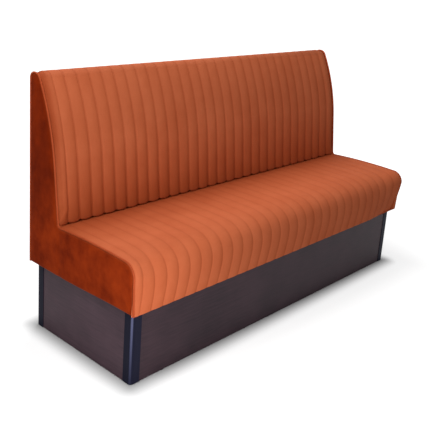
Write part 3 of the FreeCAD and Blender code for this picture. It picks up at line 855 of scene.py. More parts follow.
def blow_up(points, pinned):
    """The net's points after the cloth has swollen; pinned points stay."""
    rows, cols = points.shape[:2]
    mesh = bpy.data.meshes.new("net")
    mesh.from_pydata([tuple(p) for p in points.reshape(-1, 3)], [], grid_faces(rows, cols))
    net = bpy.data.objects.new("net", mesh)
    bpy.context.scene.collection.objects.link(net)
    pins = net.vertex_groups.new(name="pins")
    pins.add([int(i) for i in np.flatnonzero(pinned.reshape(-1))], 1.0, "REPLACE")
    cloth = net.modifiers.new("cloth", "CLOTH")
    for label, value in (("vertex_group_mass", "pins"), ("quality", 4), ("tension_stiffness", NET_STIFFNESS),
                         ("compression_stiffness", NET_STIFFNESS), ("bending_stiffness", NET_BENDING),
                         ("use_pressure", True), ("uniform_pressure_force", PUFF_PRESSURE),
                         ("shrink_min", -NET_SLACK)):
        setattr(cloth.settings, label, value)
    cloth.settings.effector_weights.gravity = 0.0
    cloth.point_cache.frame_start = 1
    cloth.point_cache.frame_end = PUFF_FRAMES
    for step in range(1, PUFF_FRAMES + 1):
        bpy.context.scene.frame_set(step)
    swollen = net.evaluated_get(bpy.context.evaluated_depsgraph_get()).to_mesh()
    flat = np.empty(len(swollen.vertices) * 3)
    swollen.vertices.foreach_get("co", flat)
    bpy.data.objects.remove(net)
    bpy.data.meshes.remove(mesh)
    bpy.context.scene.frame_set(1)
    return flat.reshape(rows, cols, 3)


def swelling(line):
    """A net over the line: how far it swells at each row and place, and the rows' distances."""
    rows = line.walk(NET_STEP)
    places = net_places()
    net = np.array([[place(x, (depth, height)) for x in places] for depth, height, _, _ in rows])
    walked = np.array([row[3] for row in rows])
    pinned = np.zeros(net.shape[:2], bool)
    pinned[:, ::NET_PER_CHANNEL] = True
    pinned[[0, -1]] = True
    lift = np.einsum("rcx,rx->rc", blow_up(net, pinned) - net, row_normals(rows))
    print("the net swells by", round(float(lift.max()) * 1000, 1), "mm before the cap")
    for _ in range(NET_SMOOTHING):
        lift[1:-1] = (lift[:-2] + 2 * lift[1:-1] + lift[2:]) / 4
    return SWELL_CAP * np.tanh(np.maximum(lift, 0.0) / SWELL_CAP), walked


def at_net(puffs, walked, x):
    """The net's swelling at a distance along the cloth, for a row of places across it."""
    net, net_walked = puffs
    i = min(max(int(np.searchsorted(net_walked, walked)) - 1, 0), len(net_walked) - 2)
    part = (walked - net_walked[i]) / (net_walked[i + 1] - net_walked[i])
    return np.interp(x, net_places(), net[i] + part * (net[i + 1] - net[i]))


# %% [markdown]
# ## From net to cover
#
# The fine grid takes the swelling from the net and adds what a coarse net can't show: the seams' depth,
# the needle's dents, small puckers and a slight sway of each seam. Between the end boards only foam
# carries the cover, so there it rounds its bends more than at the ends. That is the mean of the line
# over a reach to both sides. Tucked cloth is narrower, because it passes between the end boards.

# %% The grid of a fluted cover
NARROW_FROM, NARROW_TO = 0.1835, 0.1790
FLAP_HALF = BOARD_INNER - CLEARANCE
FLAP_ROOM = 0.02
SOFT_FROM_END = 0.12
SWAY_REACH = 0.030
PUCKER_PLACE, PUCKER_WIDTH = 0.008, 0.006
FOAM_SAMPLES = np.linspace(-1, 1, 25)
SEAMS = range(-1, CHANNELS)


def narrowed(x, depth):
    tuck = smooth(NARROW_FROM, NARROW_TO, depth)
    edge = np.clip((np.abs(x) - FIRST_SEAM) / (COVER_HALF - FIRST_SEAM), 0, 1)
    return x - np.sign(x) * tuck * edge * (COVER_HALF - FLAP_HALF)


def softened(rows, reach):
    """How far soft foam shifts each row inwards."""
    line = np.array([row[:2] for row in rows])
    walked = np.array([row[3] for row in rows])
    shift = np.zeros_like(line)
    for r, at in enumerate(walked):
        around = at + FOAM_SAMPLES * reach(at)
        for axis in (0, 1):
            shift[r, axis] = np.interp(around, walked, line[:, axis]).mean() - line[r, axis]
    return shift


def fluted_points(rows, twin, puffs, fullness, depth_of_seam, pull, foam_reach):
    """Points of the cover, and their place on the cloth in metres."""
    x, near, channel = (np.array(values) for values in zip(*columns(twin)))
    seam = np.round((x + FIRST_SEAM) / CHANNEL_WIDTH).astype(int) - SEAMS[0]
    ends = np.abs(x) > COVER_HALF - END_CHANNEL / 2
    from_stitch = near - np.where(ends, 0.0, TWIN_GAP if twin else 0.0)
    risen = shoulder(np.maximum(from_stitch, 0.0))
    dent = np.exp(-(from_stitch / SEAM_WIDTH) ** 2)
    pucker_place = np.exp(-((near - PUCKER_PLACE) / PUCKER_WIDTH) ** 2)
    sway_share = np.clip(1 - near / SWAY_REACH, 0, 1) * smooth(COVER_HALF, COVER_HALF - SWAY_REACH, np.abs(x))
    foam_share = smooth(COVER_HALF, COVER_HALF - SOFT_FROM_END, np.abs(x))
    foam = softened(rows, foam_reach)
    end_stretch = np.maximum(np.abs(x) - FIRST_SEAM, 0.0) * (CHANNEL_WIDTH / END_CHANNEL - 1)
    points = np.empty((len(rows), len(x), 3))
    cloth = np.empty((len(rows), len(x), 2))
    cloth[:, :, 0] = x + FIRST_SEAM + np.sign(x) * end_stretch
    for r, (depth, height, heading, walked) in enumerate(rows):
        full = fullness(walked)
        low = np.where(ends, END_SEAM_DEPTH, depth_of_seam(walked))
        puff = SWELL_SHARE * at_net(puffs, walked, x) + SHOULDER_RISE * risen
        lift = full * (1 + wavering(PUFF_WAVES, range(CHANNELS), walked)[channel]) * puff - low * (1 - risen)
        lift += min(1.0, full) * pucker_place * wavering(PUCKER_WAVES, SEAMS, walked)[seam]
        lift -= NEEDLE_DENT * dent * np.minimum(1.0, low / DENT_FULL_DEPTH)
        spots = np.array([depth, height]) + foam_share[:, None] * foam[r] + lift[:, None] * outward(heading)
        wide = x + wavering(SWAY_WAVES, SEAMS, walked)[seam] * sway_share
        points[r, :, 0] = narrowed(sewn(wide, pull(walked)), depth)
        points[r, :, 1] = REAR_Y - spots[:, 0]
        points[r, :, 2] = spots[:, 1]
        cloth[r, :, 1] = walked
    return points, cloth


# %% Close a cover into a pad
def close_cover(points, rows, inner, flap_first):
    """All points and faces of a pad: the fluted grid, a thin skin over each end board, and the inside."""
    count, cols = points.shape[:2]
    skin = [r for r, row in enumerate(rows) if row[0] >= NARROW_FROM or row[1] >= SEAT_EDGE + FLAP_ROOM]
    back = [np.array(rows[r][:2]) - QUILT_BACK * outward(rows[r][2]) for r in skin]
    every = list(points.reshape(-1, 3))

    def add(x, spots):
        first = len(every)
        every.extend(place(x, spot) for spot in spots)
        return list(range(first, len(every)))

    faces = grid_faces(count, cols)
    corners = []
    for side, column in ((-1, 0), (1, cols - 1)):
        outer_rim = add(side * COVER_HALF, back)
        inner_rim = add(side * FLAP_HALF, back)
        inside_line = add(side * FLAP_HALF, inner)
        edge = [r * cols + column for r in range(count)]
        for i in range(len(skin) - 1):
            faces.append((edge[skin[i]], edge[skin[i + 1]], outer_rim[i + 1], outer_rim[i]))
            faces.append((outer_rim[i], outer_rim[i + 1], inner_rim[i + 1], inner_rim[i]))
        if flap_first:
            faces.append(tuple(edge[:skin[0] + 1] + [outer_rim[0]] + inner_rim + inside_line))
        else:
            faces.append(tuple(inner_rim + [outer_rim[-1]] + edge[skin[-1]:] + inside_line[::-1]))
        corners.append((outer_rim, inner_rim, inside_line))
    left, right = corners
    for i in range(len(inner) - 1):
        faces.append((left[2][i], right[2][i], right[2][i + 1], left[2][i + 1]))
    hem, tuck, first, last = (count - 1, 0, 0, -1) if flap_first else (0, count - 1, -1, 0)
    hem_row = [hem * cols + c for c in range(cols)]
    faces.append(tuple(hem_row + [right[0][last], right[1][last], right[2][first],
                                  left[2][first], left[1][last], left[0][last]]))
    tuck_row = [tuck * cols + c for c in range(cols)]
    faces.append(tuple(tuck_row + [right[2][last], left[2][last]]))
    return np.array(every), faces


def add_cloth_map(piece, cloth):
    """Writes each point's place on the cloth, in metres, as the piece's map."""
    layer = piece.data.uv_layers.new(name="cloth map")
    flat = cloth.reshape(-1, 2)
    for loop in piece.data.loops:
        if loop.vertex_index < len(flat):
            layer.data[loop.index].uv = flat[loop.vertex_index]


def make_pad(name, points, cloth, rows, inner, flap_first):
    every, faces = close_cover(points, rows, inner, flap_first)
    pad = make_piece(name, every, faces, fluted_velvet)
    face_outwards(pad)
    add_cloth_map(pad, cloth)
    return pad


# %% [markdown]
# ## The seat pad
#
# The seat pad is the fluted cover with its foam: a flap lies over the tuck rail under the back, then the
# cover crowns over the deck, rolls over the knee and ends in a straight hem at the bottom of the rail.
# It is flat in the tuck, fuller over the knee and pressed flat again at the stapled hem, and the hem is
# pulled a little to the left, so the seams lean that way down the front.

# %% Make the seat pad
TOP_FULLNESS = 0.45
HEM_PRESS, HEM_REACH = 0.55, 0.05
TOP_SEAM, KNEE_SEAM = 0.0005, 0.0006
HEM_PULL, HEM_PULL_REACH = 0.020, 0.17
FOAM_REACH, FOAM_FROM_TUCK = 0.085, 0.05
TUCK_EASE, SEAM_REACH, SWELL_FROM, RISE_REACH = 0.01, 0.06, 0.15, 0.16
KNEE_RUN = 0.10
seat_rows = seat_line().walk(SOFT_STEP)
seat_puffs = swelling(seat_line())
seat_flap = seat_start[0] - FLAP_DEPTH
knee_at = seat_flap + crown_radius * 2 * seat_rise
seat_length = seat_rows[-1][3]


def seat_fullness(walked):
    rise = smooth(seat_flap - TUCK_EASE, seat_flap + RISE_REACH, walked)
    swell = TOP_FULLNESS + (1 - TOP_FULLNESS) * smooth(seat_flap + SWELL_FROM, knee_at + KNEE_RUN, walked)
    return swell * rise * (1 - HEM_PRESS * smooth(seat_length - HEM_REACH, seat_length, walked))


def seat_seam_depth(walked):
    deep = TOP_SEAM + KNEE_SEAM * smooth(knee_at - KNEE_RUN, knee_at, walked)
    return deep * smooth(seat_flap - TUCK_EASE, seat_flap + SEAM_REACH, walked)


def seat_pull(walked):
    return HEM_PULL * np.clip((walked - seat_length + HEM_PULL_REACH) / HEM_PULL_REACH, 0, 1) ** 2


def seat_foam_reach(walked):
    """The foam rounds the knee, but not the tuck and the hem, where the cover is held."""
    return min(FOAM_REACH, max(0.0, walked - seat_flap - FOAM_FROM_TUCK), seat_length - walked)


seat_points, seat_cloth = fluted_points(seat_rows, False, seat_puffs, seat_fullness, seat_seam_depth,
                                        seat_pull, seat_foam_reach)
seat_points = drawn_in(seat_points.reshape(-1, 3)).reshape(seat_points.shape)
seat_inner = [(RAIL_FRONT + CLEARANCE, BODY_BOTTOM + CLEARANCE),
              (RAIL_FRONT + CLEARANCE, DECK_TOP + CLEARANCE),
              (TUCK_RAIL_FRONT + CLEARANCE, DECK_TOP + CLEARANCE),
              (TUCK_RAIL_FRONT + CLEARANCE, TUCK_RAIL_TOP + CLEARANCE),
              (FLAP_DEPTH, TUCK_RAIL_TOP + CLEARANCE)]
seat_pad = make_pad("seat_pad", seat_points, seat_cloth, seat_rows, seat_inner, True)
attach(seat_pad, "root")
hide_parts("seat_cover", "seat_foam", "front_foam")

# %% [markdown]
# ## The back pad
#
# The back pad starts at a seam behind the top, rolls over it and comes down the leaning curve to tuck in
# above the seat. Its channels are nearly flat at the top and fuller near the seat, where the cover is
# pulled into the tuck, and that gives the dark notches between the puffs there.

# %% Make the back pad
ROLL_FULLNESS, MIDDLE_FULLNESS, TUCK_FULLNESS = 0.60, 0.8, 1.3
ROLL_SEAM, MIDDLE_SEAM, TUCK_SEAM = 0.0002, 0.0010, 0.0022
ROLL_LENGTH = 1.2
BACK_MIDDLE = 0.50
TUCK_RUN, TUCK_FADE, TUCK_GONE = 0.20, 0.02, 0.03
BEFORE_TOP_RAIL = 0.007
back_rows = back_line().walk(SOFT_STEP)
back_puffs = swelling(back_line())
roll_end = (TOP_REAR_RADIUS + TOP_FRONT_RADIUS) * ROLL_LENGTH
tuck_at = max(row[3] for row in back_rows if row[1] > SEAT_EDGE + TUCK_GAP + FOOT_RADIUS)


def back_fullness(walked):
    full = ROLL_FULLNESS + MIDDLE_FULLNESS * smooth(0.0, BACK_MIDDLE, walked)
    full += TUCK_FULLNESS * smooth(BACK_MIDDLE / 2, tuck_at, walked)
    return full * (1 - smooth(tuck_at, tuck_at + TUCK_FADE, walked))


def back_seam_depth(walked):
    deep = ROLL_SEAM + MIDDLE_SEAM * smooth(roll_end, BACK_MIDDLE, walked)
    deep += TUCK_SEAM * smooth(tuck_at - TUCK_RUN, tuck_at, walked)
    return deep * (1 - smooth(tuck_at + TUCK_FADE, tuck_at + TUCK_GONE, walked))


def nowhere(walked):
    return 0.0


back_points, back_cloth = fluted_points(back_rows, True, back_puffs, back_fullness, back_seam_depth, nowhere,
                                        nowhere)
tuck_end = back_rows[-1]
back_inner = [(tuck_end[0], tuck_end[1] + QUILT_BACK),
              (REAR_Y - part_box("back_top_rail")[0].y + BEFORE_TOP_RAIL, BOARD_TOP + CLEARANCE),
              (QUILT_BACK + CLEARANCE, BOARD_TOP + CLEARANCE)]
back_pad = make_pad("back_pad", back_points, back_cloth, back_rows, back_inner, False)
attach(back_pad, "root")
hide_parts("back_cover", "back_foam")


# %% [markdown]
# ## The twin stitches
#
# Each seam of the back is sewn with two needles. The stitches are short threads that dip into the
# groove, and there are thousands, so a loop lays one small spindle for each along the grooves.

# %% Make the stitches of the back
STITCH_PITCH = 0.0055
STITCH_LENGTH = 0.0040
STITCH_RADIUS = 0.00042
STITCH_PROUD = 0.6
SPINDLE = [(-0.5, 0, 0), (-0.25, 1, 0), (-0.25, 0, 1), (-0.25, -1, 0), (-0.25, 0, -1),
           (0.25, 1, 0), (0.25, 0, 1), (0.25, -1, 0), (0.25, 0, -1), (0.5, 0, 0)]
SPINDLE_FACES = ([(0, 1 + (i + 1) % 4, 1 + i) for i in range(4)]
                 + [(1 + i, 1 + (i + 1) % 4, 5 + (i + 1) % 4, 5 + i) for i in range(4)]
                 + [(9, 5 + i, 5 + (i + 1) % 4) for i in range(4)])


def stitch_points(path, normals):
    """The points of the spindles along a path."""
    steps = np.linalg.norm(np.diff(path, axis=0), axis=1)
    walked = np.concatenate([[0], np.cumsum(steps)])
    points = []
    for at in np.arange(STITCH_PITCH, walked[-1] - STITCH_PITCH, STITCH_PITCH):
        i = int(np.searchsorted(walked, at)) - 1
        along = (path[i + 1] - path[i]) / steps[i]
        across = np.cross(along, normals[i])
        centre = path[i] + (at - walked[i]) * along + normals[i] * STITCH_RADIUS * STITCH_PROUD
        for a, b, c in SPINDLE:
            points.append(centre + a * STITCH_LENGTH * along + STITCH_RADIUS * (b * across + c * normals[i]))
    return points


stitches = []
for column, (x, near, _) in enumerate(columns(twin=True)):
    if math.isclose(near, TWIN_GAP, abs_tol=1e-6) and abs(x) < FIRST_SEAM + 2 * TWIN_GAP:
        stitches += stitch_points(back_points[:, column], row_normals(back_rows))
stitch_faces = [tuple(start + v for v in face) for start in range(0, len(stitches), len(SPINDLE))
                for face in SPINDLE_FACES]
back_stitches = make_piece("back_stitches", stitches, stitch_faces, thread)
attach(back_stitches, "root")


# %% [markdown]
# ## The side panels
#
# Each side is one plain piece of velvet over a thin wadding, so it swells a little in the middle and
# falls to the welt all round. A filled outline would stay flat, so the panel is cut into a mesh of
# small triangles, and each point is lifted by how far it is from the edge. The plywood end boards
# behind the panels are made the same way, because their lower front corners are planed off where the
# cover is drawn in.

# %% Fill an outline with small triangles
PANEL_STEP = 0.009
RING_INSETS = (0.0012, 0.0028, 0.0055)
RING_ROOM, SPOT_ROOM = 0.9, 0.6
SAME_POINT = 1e-7


def inset_border(inset, step):
    """The side line moved inwards and closed along the bottom, as depth and height."""
    border = [np.array([depth, height]) - inset * outward(heading)
              for depth, height, heading, _ in side_line().walk(step)]
    border[0][1] = border[-1][1] = BODY_BOTTOM
    rear, front = border[0][0], border[-1][0]
    count = int((front - rear) / step)
    border += [np.array([front + (rear - front) * i / count, BODY_BOTTOM]) for i in range(1, count)]
    return np.array(border)


def inside(border, points):
    """Which points lie inside the closed border."""
    hits = np.zeros(len(points), bool)
    for (d0, h0), (d1, h1) in zip(border, np.roll(border, -1, axis=0)):
        crosses = (h0 > points[:, 1]) != (h1 > points[:, 1])
        with np.errstate(divide="ignore", invalid="ignore"):
            at = d0 + (points[:, 1] - h0) * (d1 - d0) / (h1 - h0)
        hits ^= crosses & (points[:, 0] < at)
    return hits


def edge_distance(border, points):
    nearest = np.full(len(points), np.inf)
    for a, b in zip(border, np.roll(border, -1, axis=0)):
        along = b - a
        part = np.clip(((points - a) @ along) / (along @ along), 0, 1)
        nearest = np.minimum(nearest, np.linalg.norm(points - a - part[:, None] * along, axis=1))
    return nearest


def filled(border, step):
    """Points inside the border, its own points first, and the triangles between them."""
    low, high = border.min(axis=0), border.max(axis=0)
    spots = np.stack(np.meshgrid(np.arange(low[0], high[0], step), np.arange(low[1], high[1], step)), axis=-1)
    spots = spots.reshape(-1, 2)
    spots = spots[inside(border, spots)]
    tangent = np.roll(border, -1, axis=0) - np.roll(border, 1, axis=0)
    inwards = np.stack([tangent[:, 1], -tangent[:, 0]], axis=-1) / np.linalg.norm(tangent, axis=1)[:, None]
    rings = [border]
    for inset in RING_INSETS:
        moved = border + inset * inwards
        rings.append(moved[inside(border, moved) & (edge_distance(border, moved) > RING_ROOM * inset)])
    every = np.vstack(rings + [spots[edge_distance(border, spots) > RING_INSETS[-1] + SPOT_ROOM * step]])
    edges = [(i, (i + 1) % len(border)) for i in range(len(border))]
    found, _, triangles, *_ = delaunay_2d_cdt([Vector(p) for p in every], edges, [], 1, SAME_POINT)
    return np.array([tuple(p) for p in found]), [tuple(t) for t in triangles]


def plate(side, border, step, outer_x, inner_x):
    """A plate cut to the border, with its outer face at outer_x(points, distance from the edge)."""
    flat, triangles = filled(border, step)
    distance = edge_distance(border, flat)
    rim, count = len(border), len(flat)
    outer = [place(side * x, spot) for x, spot in zip(outer_x(flat, distance), flat)]
    inner = [place(side * inner_x, spot) for spot in flat]
    faces = list(triangles) + [tuple(count + v for v in reversed(t)) for t in triangles]
    faces += [(i, (i + 1) % rim, count + (i + 1) % rim, count + i) for i in range(rim)]
    return np.array(outer + inner), faces, np.concatenate([distance, distance])


# %% Make the planed end boards
BOARD_BORDER_STEP, BOARD_STEP = 0.012, 0.03


def make_end_board(side, name, node):
    border = inset_border(QUILT_BACK + CLEARANCE, BOARD_BORDER_STEP)
    points, faces, _ = plate(side, border, BOARD_STEP, lambda flat, distance: np.full(len(flat), SIDE_INNER),
                             BOARD_INNER)
    half = len(points) // 2
    pulled = drawn_in(points)
    pulled[half:, 0] = points[half:, 0]
    board = make_piece(name, pulled, faces, plywood)
    face_outwards(board)
    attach(board, "root")
    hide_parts(node)


make_end_board(-1, "end_board_left", "end_frame_left")
make_end_board(1, "end_board_right", "end_frame_right")

# %% Make a side panel
PANEL_INSET = 0.0060
PANEL_EDGE_DROP, PANEL_EDGE_REACH = 0.0042, 0.0040
PANEL_SWELL, PANEL_SWELL_REACH = 0.0014, 0.030
CREASE_PLACE, CREASE_WIDTH, CREASE_DROP = 0.196, 0.009, 0.0018
CREASE_TOP, CREASE_FULL = 0.475, 0.43
RIPPLE, RIPPLE_REACH = 0.0010, 0.04


def panel_x(flat, distance):
    """How far each point of the panel stands from the middle of the bench."""
    swell = PANEL_SWELL * (1 - np.exp(-distance / PANEL_SWELL_REACH))
    drop = PANEL_EDGE_DROP * np.exp(-distance / PANEL_EDGE_REACH)
    crease = np.exp(-((flat[:, 0] - CREASE_PLACE) / CREASE_WIDTH) ** 2)
    crease *= CREASE_DROP * smooth(CREASE_TOP, CREASE_FULL, flat[:, 1])
    ripple = np.array([noise.noise(Vector((depth * 8.0, 1.7, height * 6.0))) for depth, height in flat])
    ripple *= RIPPLE * smooth(0.0, RIPPLE_REACH, distance)
    return HALF_LENGTH + swell - drop - crease + ripple


def make_side_panel(side, name, nodes):
    border = inset_border(PANEL_INSET, PANEL_STEP)
    points, faces, distance = plate(side, border, PANEL_STEP, panel_x, SIDE_INNER + CLEARANCE)
    panel = make_piece(name, drawn_in(points), faces, plain_velvet)
    face_outwards(panel)
    add_cloth_map(panel, np.stack([distance, points[:, 2]], axis=-1))
    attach(panel, "root")
    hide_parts(*nodes)


make_side_panel(-1, "side_panel_left", ("side_cover_left", "side_padding_left"))
make_side_panel(1, "side_panel_right", ("side_cover_right", "side_padding_right"))


# %% [markdown]
# ## The welts
#
# A welt is a cord wrapped in a strip of the same velvet and sewn into the corner seam. It is a tube
# along the side line. The strip is cut on the bias, so it swells and thins slightly at its stitches.

# %% Make a welt
WELT_SIDES = 14
WELT_STEP = 0.004
WELT_PROUD = 0.0004


def make_welt(side, name, node):
    rows = side_line().walk(WELT_STEP)
    points = []
    for depth, height, heading, walked in rows:
        normal = outward(heading)
        centre = np.array([depth, height]) - (WELT_RADIUS - WELT_PROUD) * normal
        size = WELT_RADIUS * (1 + wavering(WELT_WAVES, [0], walked)[0])
        for i in range(WELT_SIDES):
            angle = 2 * math.pi * i / WELT_SIDES
            x = side * (HALF_LENGTH - WELT_RADIUS + WELT_PROUD + size * math.cos(angle))
            points.append(place(x, centre + size * math.sin(angle) * normal))
    last = (len(rows) - 1) * WELT_SIDES
    faces = [(r + i, r + (i + 1) % WELT_SIDES, r + WELT_SIDES + (i + 1) % WELT_SIDES, r + WELT_SIDES + i)
             for r in range(0, last, WELT_SIDES) for i in range(WELT_SIDES)]
    faces.append(tuple(reversed(range(WELT_SIDES))))
    faces.append(tuple(range(last, last + WELT_SIDES)))
    piece = make_piece(name, drawn_in(points), faces, welt_velvet)
    face_outwards(piece)
    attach(piece, "root")
    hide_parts(node)


make_welt(-1, "welt_left", "edge_welt_left")
make_welt(1, "welt_right", "edge_welt_right")


# %% [markdown]
# ## The corner tucks
#
# Where the seat meets the back at each end, the two covers are folded into the corner behind the welt.
# A short curved tuck of the same velvet fills that corner, between the pads and the welt.

# %% Make the corner tucks
TUCK_CLOTH = 0.0022
TUCK_LENGTH = 0.026
TUCK_START, TUCK_SINK = 0.0012, 0.0085
TUCK_STEP, TUCK_COLUMNS, TUCK_CURVE = 0.002, 8, 1.5
CORNER_ROOM = 1.02


def make_corner_tuck(side, name):
    rows = [row for row in side_line().walk(TUCK_STEP)
            if math.dist(row[:2], corner) < corner_reach * CORNER_ROOM]
    xs = np.linspace(COVER_HALF, COVER_HALF - TUCK_LENGTH, TUCK_COLUMNS)
    sink = TUCK_START + TUCK_SINK * ((COVER_HALF - xs) / TUCK_LENGTH) ** TUCK_CURVE

    def folded(depths):
        return np.array([[place(side * x, np.array(row[:2]) - sunk * outward(row[2]))
                          for x, sunk in zip(xs, depths)] for row in rows])

    tuck = make_slab(name, folded(sink), folded(sink + TUCK_CLOTH), fluted_velvet)
    face_outwards(tuck)
    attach(tuck, "root")


make_corner_tuck(-1, "corner_tuck_left")
make_corner_tuck(1, "corner_tuck_right")


# %% [markdown]
# ## The rear cover and the lining
#
# The rear is a plain stretched sheet of the same velvet. Under the body a thin black lining hides the
# staples. Both are nearly flat, so a grid with a faint swell is enough.

# %% Make the rear cover
REAR_THICKNESS = 0.002
REAR_SWELL = 0.0006
REAR_COLUMNS = 91
REAR_STEP = 0.02
BEFORE_SEAM = 0.7
rear_rows = up_the_rear().bend(TOP_REAR_RADIUS, 90.0 - REAR_SEAM_ANGLE - BEFORE_SEAM).walk(REAR_STEP)


def rear_grid(depth_at):
    return np.array([[place(x, np.array([depth, height]) - depth_at(x, height) * outward(heading))
                      for x in np.linspace(-COVER_HALF, COVER_HALF, REAR_COLUMNS)]
                     for depth, height, heading, _ in rear_rows])


outer_grid = rear_grid(lambda x, height: REAR_SWELL * (1 + noise.noise(Vector((x * 3, 9.1, height * 4)))))
inner_grid = rear_grid(lambda x, height: REAR_THICKNESS)
rear_sheet = make_slab("rear_velvet", outer_grid, inner_grid, rear_velvet)
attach(rear_sheet, "root")
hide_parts("rear_cover")

# %% Make the lining
LINING_SWELL = 0.0003
LINING_COLUMNS, LINING_ROWS = 61, 21
lining_low, lining_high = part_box("dust_cover")


def lining_grid(height_at):
    points = [(x, y, height_at(x, y)) for y in np.linspace(lining_high.y, lining_low.y, LINING_ROWS)
              for x in np.linspace(lining_low.x, lining_high.x, LINING_COLUMNS)]
    return drawn_in(points).reshape(LINING_ROWS, LINING_COLUMNS, 3)


def lining_under(x, y):
    return lining_low.z + LINING_SWELL * (1 + noise.noise(Vector((x * 5, y * 5, 2.2))))


lining_sheet = make_slab("lining_sheet", lining_grid(lambda x, y: lining_high.z), lining_grid(lining_under),
                         lining)
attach(lining_sheet, "root")
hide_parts("dust_cover")

# %% [markdown]
# ## Finishes of the measured pieces
#
# The timber, the metal and the glides keep their measured shapes and only get a finish. The black
# profiles have a rounded nose that catches a thin line of light along its whole height. A glossy
# surface would catch it only where a lamp happens to mirror, so the nose is found by the way it faces
# and painted a little lighter, less so near the floor.

# %% The black corner profiles
NOSE_ANGLE = math.radians(33)
NOSE_SPREAD = 0.08
NOSE_FROM, NOSE_TO = -1 / 30, 0.3


def profile_recipe(tree):
    haze = noise_texture(tree, stretched(tree, surface(tree, "Object"), (300.0, 300.0, 6.0)), 1.0)
    colour = mix_colour(tree, haze, linear(24, 24, 38), linear(33, 33, 50))
    folded = vector_node(tree, "ABSOLUTE", surface(tree, "Normal"))
    facing = vector_node(tree, "DOT_PRODUCT", folded, (math.cos(NOSE_ANGLE), math.sin(NOSE_ANGLE), 0.0))
    nose = times(tree, ramp(tree, facing, 1 - NOSE_SPREAD, 1.0), place_ramp(tree, "Z", NOSE_FROM, NOSE_TO))
    colour = mix_colour(tree, nose, colour, linear(102, 105, 138))
    return {"Base Color": colour, "Roughness": math_node(tree, "MULTIPLY_ADD", haze, 0.12, 0.24),
            "Specular IOR Level": 0.03}


black_profile = made_material("black anodised profile", profile_recipe)

# %% Give each measured piece its finish
LONG_BOARDS = ("plinth_front_panel", "plinth_rear_panel")
finishes = {"dark_wood": dark_wood, "plywood": plywood, "softwood": softwood, "hardboard": hardboard,
            "black_profile": black_profile, "zinc_steel": zinc, "glide_plastic": nylon}
painted = 0
for part in frame["record"]["subparts"]:
    finish = long_wood_in_shade if part["node"] in LONG_BOARDS else finishes.get(part["material_slot"])
    if finish:
        node = frame["nodes"][part["node"]]
        node.data.materials.clear()
        node.data.materials.append(finish)
        painted += 1
print("measured pieces finished:", painted)


# %% [markdown]
# ## The floor
#
# The bench stands on a plain white floor. A white floor would throw much light up onto the bench, so the
# floor itself is grey, and Light Path lets it glow white only where it is looked at. Close to the plinth
# the glow is weaker, a painted shadow that deepens the real soft shadow where board meets floor, and it
# grows to full white further out.

# %% Lay the floor
FLOOR_SIZE = 120.0
FLOOR_GREY = 0.5
SHADE_REACH = 0.09
SHADE_START = -SHADE_REACH / 6
NEAR_GLOW, FAR_GLOW = 0.7, 1.0
FAR_FROM, FAR_TO = 0.125, 1.375
front_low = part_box("plinth_front_panel")[0]
side_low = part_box("plinth_left_panel")[0]
rear_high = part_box("plinth_rear_panel")[1]
foot_middle = (0.0, (front_low.y + rear_high.y) / 2, 0.0)
foot_half = (-side_low.x, (rear_high.y - front_low.y) / 2, 0.0)


def looked_at(tree):
    """1 where the camera sees a surface, straight or through a mirror or glass, and 0 for other light."""
    path = tree.nodes.new("ShaderNodeLightPath").outputs
    seen = math_node(tree, "ADD", path["Is Camera Ray"], path["Is Glossy Ray"])
    return math_node(tree, "ADD", seen, path["Is Transmission Ray"], clamp=True)


def floor_recipe(tree):
    offset = vector_node(tree, "SUBTRACT", surface(tree, "Object"), foot_middle)
    outside = vector_node(tree, "SUBTRACT", vector_node(tree, "ABSOLUTE", offset), foot_half)
    away = vector_node(tree, "LENGTH", vector_node(tree, "MAXIMUM", outside, (0.0, 0.0, 0.0)))
    # The glow is weaker near the plinth: a painted shadow where board meets floor.
    shade = tree.nodes.new("ShaderNodeMapRange")
    shade.interpolation_type = "SMOOTHSTEP"
    for label, value in (("Value", away), ("From Min", SHADE_START), ("From Max", SHADE_REACH),
                         ("To Min", 0.0), ("To Max", NEAR_GLOW)):
        feed(tree, shade.inputs[label], value)
    far = ramp(tree, away, FAR_FROM, FAR_TO)
    glow = math_node(tree, "MULTIPLY_ADD", far, FAR_GLOW - NEAR_GLOW, shade.outputs["Result"])
    return {"Base Color": (FLOOR_GREY, FLOOR_GREY, FLOOR_GREY, 1), "Roughness": 0.9,
            "Specular IOR Level": 0.0, "Emission Color": (1, 1, 1, 1),
            "Emission Strength": times(tree, looked_at(tree), glow)}


floor_mesh = bpy.data.meshes.new("floor")
floor_corners = [(across * FLOOR_SIZE / 2, deep * FLOOR_SIZE / 2, 0)
                 for across, deep in ((-1, -1), (1, -1), (1, 1), (-1, 1))]
floor_mesh.from_pydata(floor_corners, [], [(0, 1, 2, 3)])
floor = bpy.data.objects.new("floor", floor_mesh)
bpy.context.scene.collection.objects.link(floor)
floor_mesh.materials.append(made_material("white floor", floor_recipe))
print("floor", FLOOR_SIZE, "m wide")

# %% [markdown]
# ## The world and the lamps
#
# One big lamp would leave the seat front and the left side too dark. A broad lamp above and behind lights
# the seat and the top of the back, a smaller one high on the left lights the left end, and a low one in
# front on the left lifts the side. An even white world fills the rest, and it is pure white to the eye.

# %% Light the room
WORLD_LIGHT = 0.39
world = bpy.data.worlds.new("white room")
bpy.context.scene.world = world
world.use_nodes = True
background = world.node_tree.nodes["Background"]
background.inputs["Color"].default_value = (1, 1, 1, 1)
feed(world.node_tree, background.inputs["Strength"],
     math_node(world.node_tree, "MULTIPLY_ADD", looked_at(world.node_tree), 1 - WORLD_LIGHT, WORLD_LIGHT))


def area_lamp(name, place_at, aim, size, power):
    lamp = bpy.data.lights.new(name, "AREA")
    lamp.shape = "DISK"
    lamp.size = size
    lamp.energy = power
    holder = bpy.data.objects.new(name, lamp)
    bpy.context.scene.collection.objects.link(holder)
    holder.location = place_at
    holder.rotation_euler = (Vector(aim) - Vector(place_at)).to_track_quat("-Z", "Y").to_euler()
    print(name, power, "W")


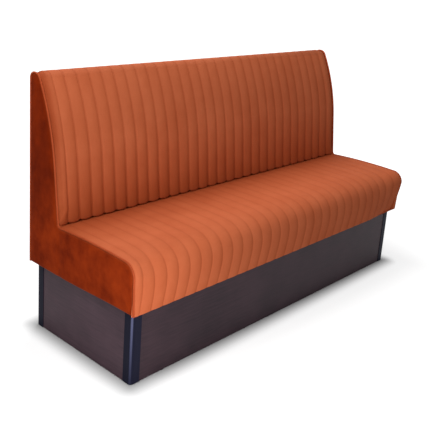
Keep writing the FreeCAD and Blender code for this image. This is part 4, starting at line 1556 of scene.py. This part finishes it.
area_lamp("ceiling lamp", (0.1, 0.6, 2.5), (0.2, -0.1, 0.5), 1.2, 27.8)
area_lamp("left lamp", (-1.7, -0.3, 1.8), (-0.5, 0.1, 0.6), 0.5, 10.4)
area_lamp("low lamp", (-1.1, -1.0, 0.35), (-0.6, 0.0, 0.42), 0.6, 5.8)

# %% [markdown]
# ## The camera
#
# The camera stands to the left in front, above the top of the back, and looks down along the seat. It is
# turned a few degrees about its own axis. Tilting it down to the plinth would make the upright edges
# run together, so it looks a little over the seat and the frame is shifted down instead.

# %% Set the camera
CAMERA_DEPTH = 2.20729
CAMERA_X = -2.33475
CAMERA_HEIGHT = 1.46976
AZIMUTH, ELEVATION, ROLL = 48.2155, 15.113, 4.1455
FOCAL_PIXELS, IMAGE_PIXELS, AXIS_ROW = 709.37, 430, 150
SENSOR_WIDTH = 36.0
FARTHEST_SEEN = 200.0
azimuth, elevation, roll = (math.radians(v) for v in (AZIMUTH, ELEVATION, ROLL))
forward = Vector((math.sin(azimuth) * math.cos(elevation), math.cos(azimuth) * math.cos(elevation),
                  -math.sin(elevation)))
level_right = Vector((math.cos(azimuth), -math.sin(azimuth), 0))
level_up = level_right.cross(forward)
right = level_right * math.cos(roll) + level_up * math.sin(roll)
up = level_up * math.cos(roll) - level_right * math.sin(roll)
camera_data = bpy.data.cameras.new("camera")
camera = bpy.data.objects.new("camera", camera_data)
bpy.context.scene.collection.objects.link(camera)
turn = Matrix((right, up, -forward)).transposed().to_4x4()
camera.matrix_world = Matrix.Translation((CAMERA_X, REAR_Y - CAMERA_DEPTH, CAMERA_HEIGHT)) @ turn
camera_data.sensor_width = SENSOR_WIDTH
camera_data.lens = FOCAL_PIXELS * SENSOR_WIDTH / IMAGE_PIXELS
camera_data.shift_y = (AXIS_ROW - IMAGE_PIXELS / 2) / IMAGE_PIXELS
camera_data.clip_end = FARTHEST_SEEN
bpy.context.scene.camera = camera
bpy.context.scene.view_settings.view_transform = "Standard"
print("lens", round(camera_data.lens, 1), "mm, shift", round(camera_data.shift_y, 3))
